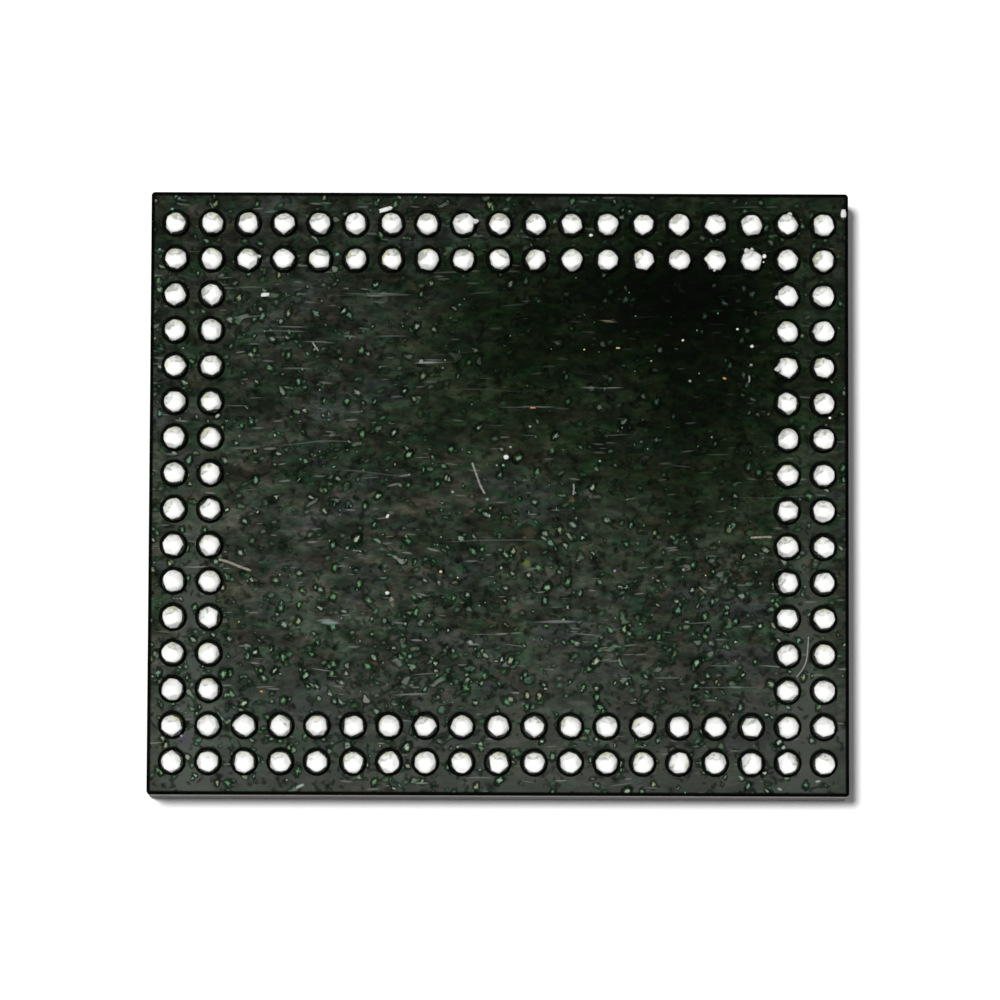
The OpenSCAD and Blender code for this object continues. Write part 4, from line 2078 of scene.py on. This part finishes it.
@dataclass
class Studio:
    """Camera, floor and light, with distances in millimetres, angles in degrees and the floor in metres."""

    face: float
    tilt: float = 6.1
    roll: float = 0.2
    distance: float = 94.0
    field_width: float = 13.864
    shift: Point = (0.00115, -0.0071)
    sun_way: tuple[float, float, float] = (-0.18, 0.08, 1.0)
    sun_share: float = 0.82
    sky_share: float = 0.18
    sun_angle: float = 9.0
    floor_size: float = 6.0
    floor_tone: Colour = (0.90, 0.90, 0.90)
    floor_seen: Colour = (1.14, 1.14, 1.145)
    sensor: float = 36.0

    def build(self) -> None:
        """Set up everything round the part."""
        self.camera()
        self.floor()
        self.sky()
        self.sun()
        bpy.context.scene.view_settings.view_transform = "Standard"
        log.info("studio: camera %.1f mm away, tilted %.1f degrees", self.distance, self.tilt)

    def camera(self) -> None:
        """Place the camera above the ball side, tilted from the front."""
        tilt, roll = math.radians(self.tilt), math.radians(self.roll)
        data = bpy.data.cameras.new("camera")
        data.sensor_width = self.sensor
        data.lens = self.sensor * self.distance / self.field_width
        data.shift_x, data.shift_y = self.shift
        data.clip_start, data.clip_end = 0.002, 20.0
        made = bpy.data.objects.new("camera", data)
        place = Vector((0, -math.sin(tilt), math.cos(tilt))) * self.distance * MM
        turn = Matrix.Rotation(tilt, 4, "X") @ Matrix.Rotation(roll, 4, "Z")
        made.matrix_world = Matrix.Translation(Vector((0, 0, self.face * MM)) + place) @ turn
        bpy.context.scene.collection.objects.link(made)
        bpy.context.scene.camera = made

    def floor(self) -> None:
        """Lay the plain pale floor that the part stands on and throws its shadow on."""
        half = self.floor_size / 2
        corners = [(half * x, half * y, 0) for x, y in ((-1, -1), (1, -1), (1, 1), (-1, 1))]
        mesh = bpy.data.meshes.new("floor")
        mesh.from_pydata(corners, [], [(0, 1, 2, 3)])
        material = bpy.data.materials.new("floor")
        material.use_nodes = True
        graph = Graph(material.node_tree)
        material.node_tree.nodes.clear()
        tone = graph.colour(self.seen(graph), self.floor_tone, self.floor_seen)
        shader = graph.add("ShaderNodeBsdfDiffuse", {"Color": tone})
        graph.add("ShaderNodeOutputMaterial", {"Surface": shader.outputs[0]})
        mesh.materials.append(material)
        made = bpy.data.objects.new("floor", mesh)
        bpy.context.scene.collection.objects.link(made)
        made.location.z = -1e-6

    def seen(self, graph: Graph) -> Socket:
        """Tell what is seen, directly or in metal and glass, from what lights the part.

        Args:
            graph: the material's graph.

        Returns:
            1 for what is seen, and 0 for light on the part.
        """
        path = graph.add("ShaderNodeLightPath").outputs
        direct = graph.math("MAXIMUM", path["Is Camera Ray"], path["Is Glossy Ray"])
        return graph.math("MAXIMUM", direct, path["Is Transmission Ray"])

    def sky(self) -> None:
        """Make the even white surroundings, which light the part less than they show."""
        world = bpy.data.worlds.new("studio")
        world.use_nodes = True
        graph = Graph(world.node_tree)
        world.node_tree.nodes.clear()
        lit = graph.add("ShaderNodeBackground", {"Color": (1.0, 1.0, 1.0), "Strength": self.sky_share})
        shown = graph.add("ShaderNodeBackground", {"Color": (1.0, 1.0, 1.0), "Strength": 1.0})
        shaders = {0: self.seen(graph), 1: lit.outputs[0], 2: shown.outputs[0]}
        mixed = graph.add("ShaderNodeMixShader", shaders)
        graph.add("ShaderNodeOutputWorld", {"Surface": mixed.outputs[0]})
        bpy.context.scene.world = world

    def sun(self) -> None:
        """Set the soft main light, which gives the shadow its side."""
        data = bpy.data.lights.new("main_light", "SUN")
        data.energy = self.sun_share * math.pi
        data.angle = math.radians(self.sun_angle)
        made = bpy.data.objects.new("main_light", data)
        made.rotation_mode = "QUATERNION"
        made.rotation_quaternion = Vector(self.sun_way).to_track_quat("Z", "Y")
        bpy.context.scene.collection.objects.link(made)


def main() -> None:
    """Build the studio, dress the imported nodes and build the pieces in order."""
    logging.basicConfig(level=logging.INFO, format="%(name)s: %(message)s")
    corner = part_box("ball_side_mask")[1] / MM
    face, half = corner.z, (corner.x, corner.y)
    palette = Palette(half)
    Studio(face).build()
    PackedNodes(palette).dress()
    balls = BallField(palette.solder)
    openings = [(x, y) for row in balls.places().values() for _, x, y in row]
    balls.build()
    MaskSheet(palette.mask, openings).build()
    Debris(palette, face, half, openings).build()


if __name__ == "__main__":
    main()
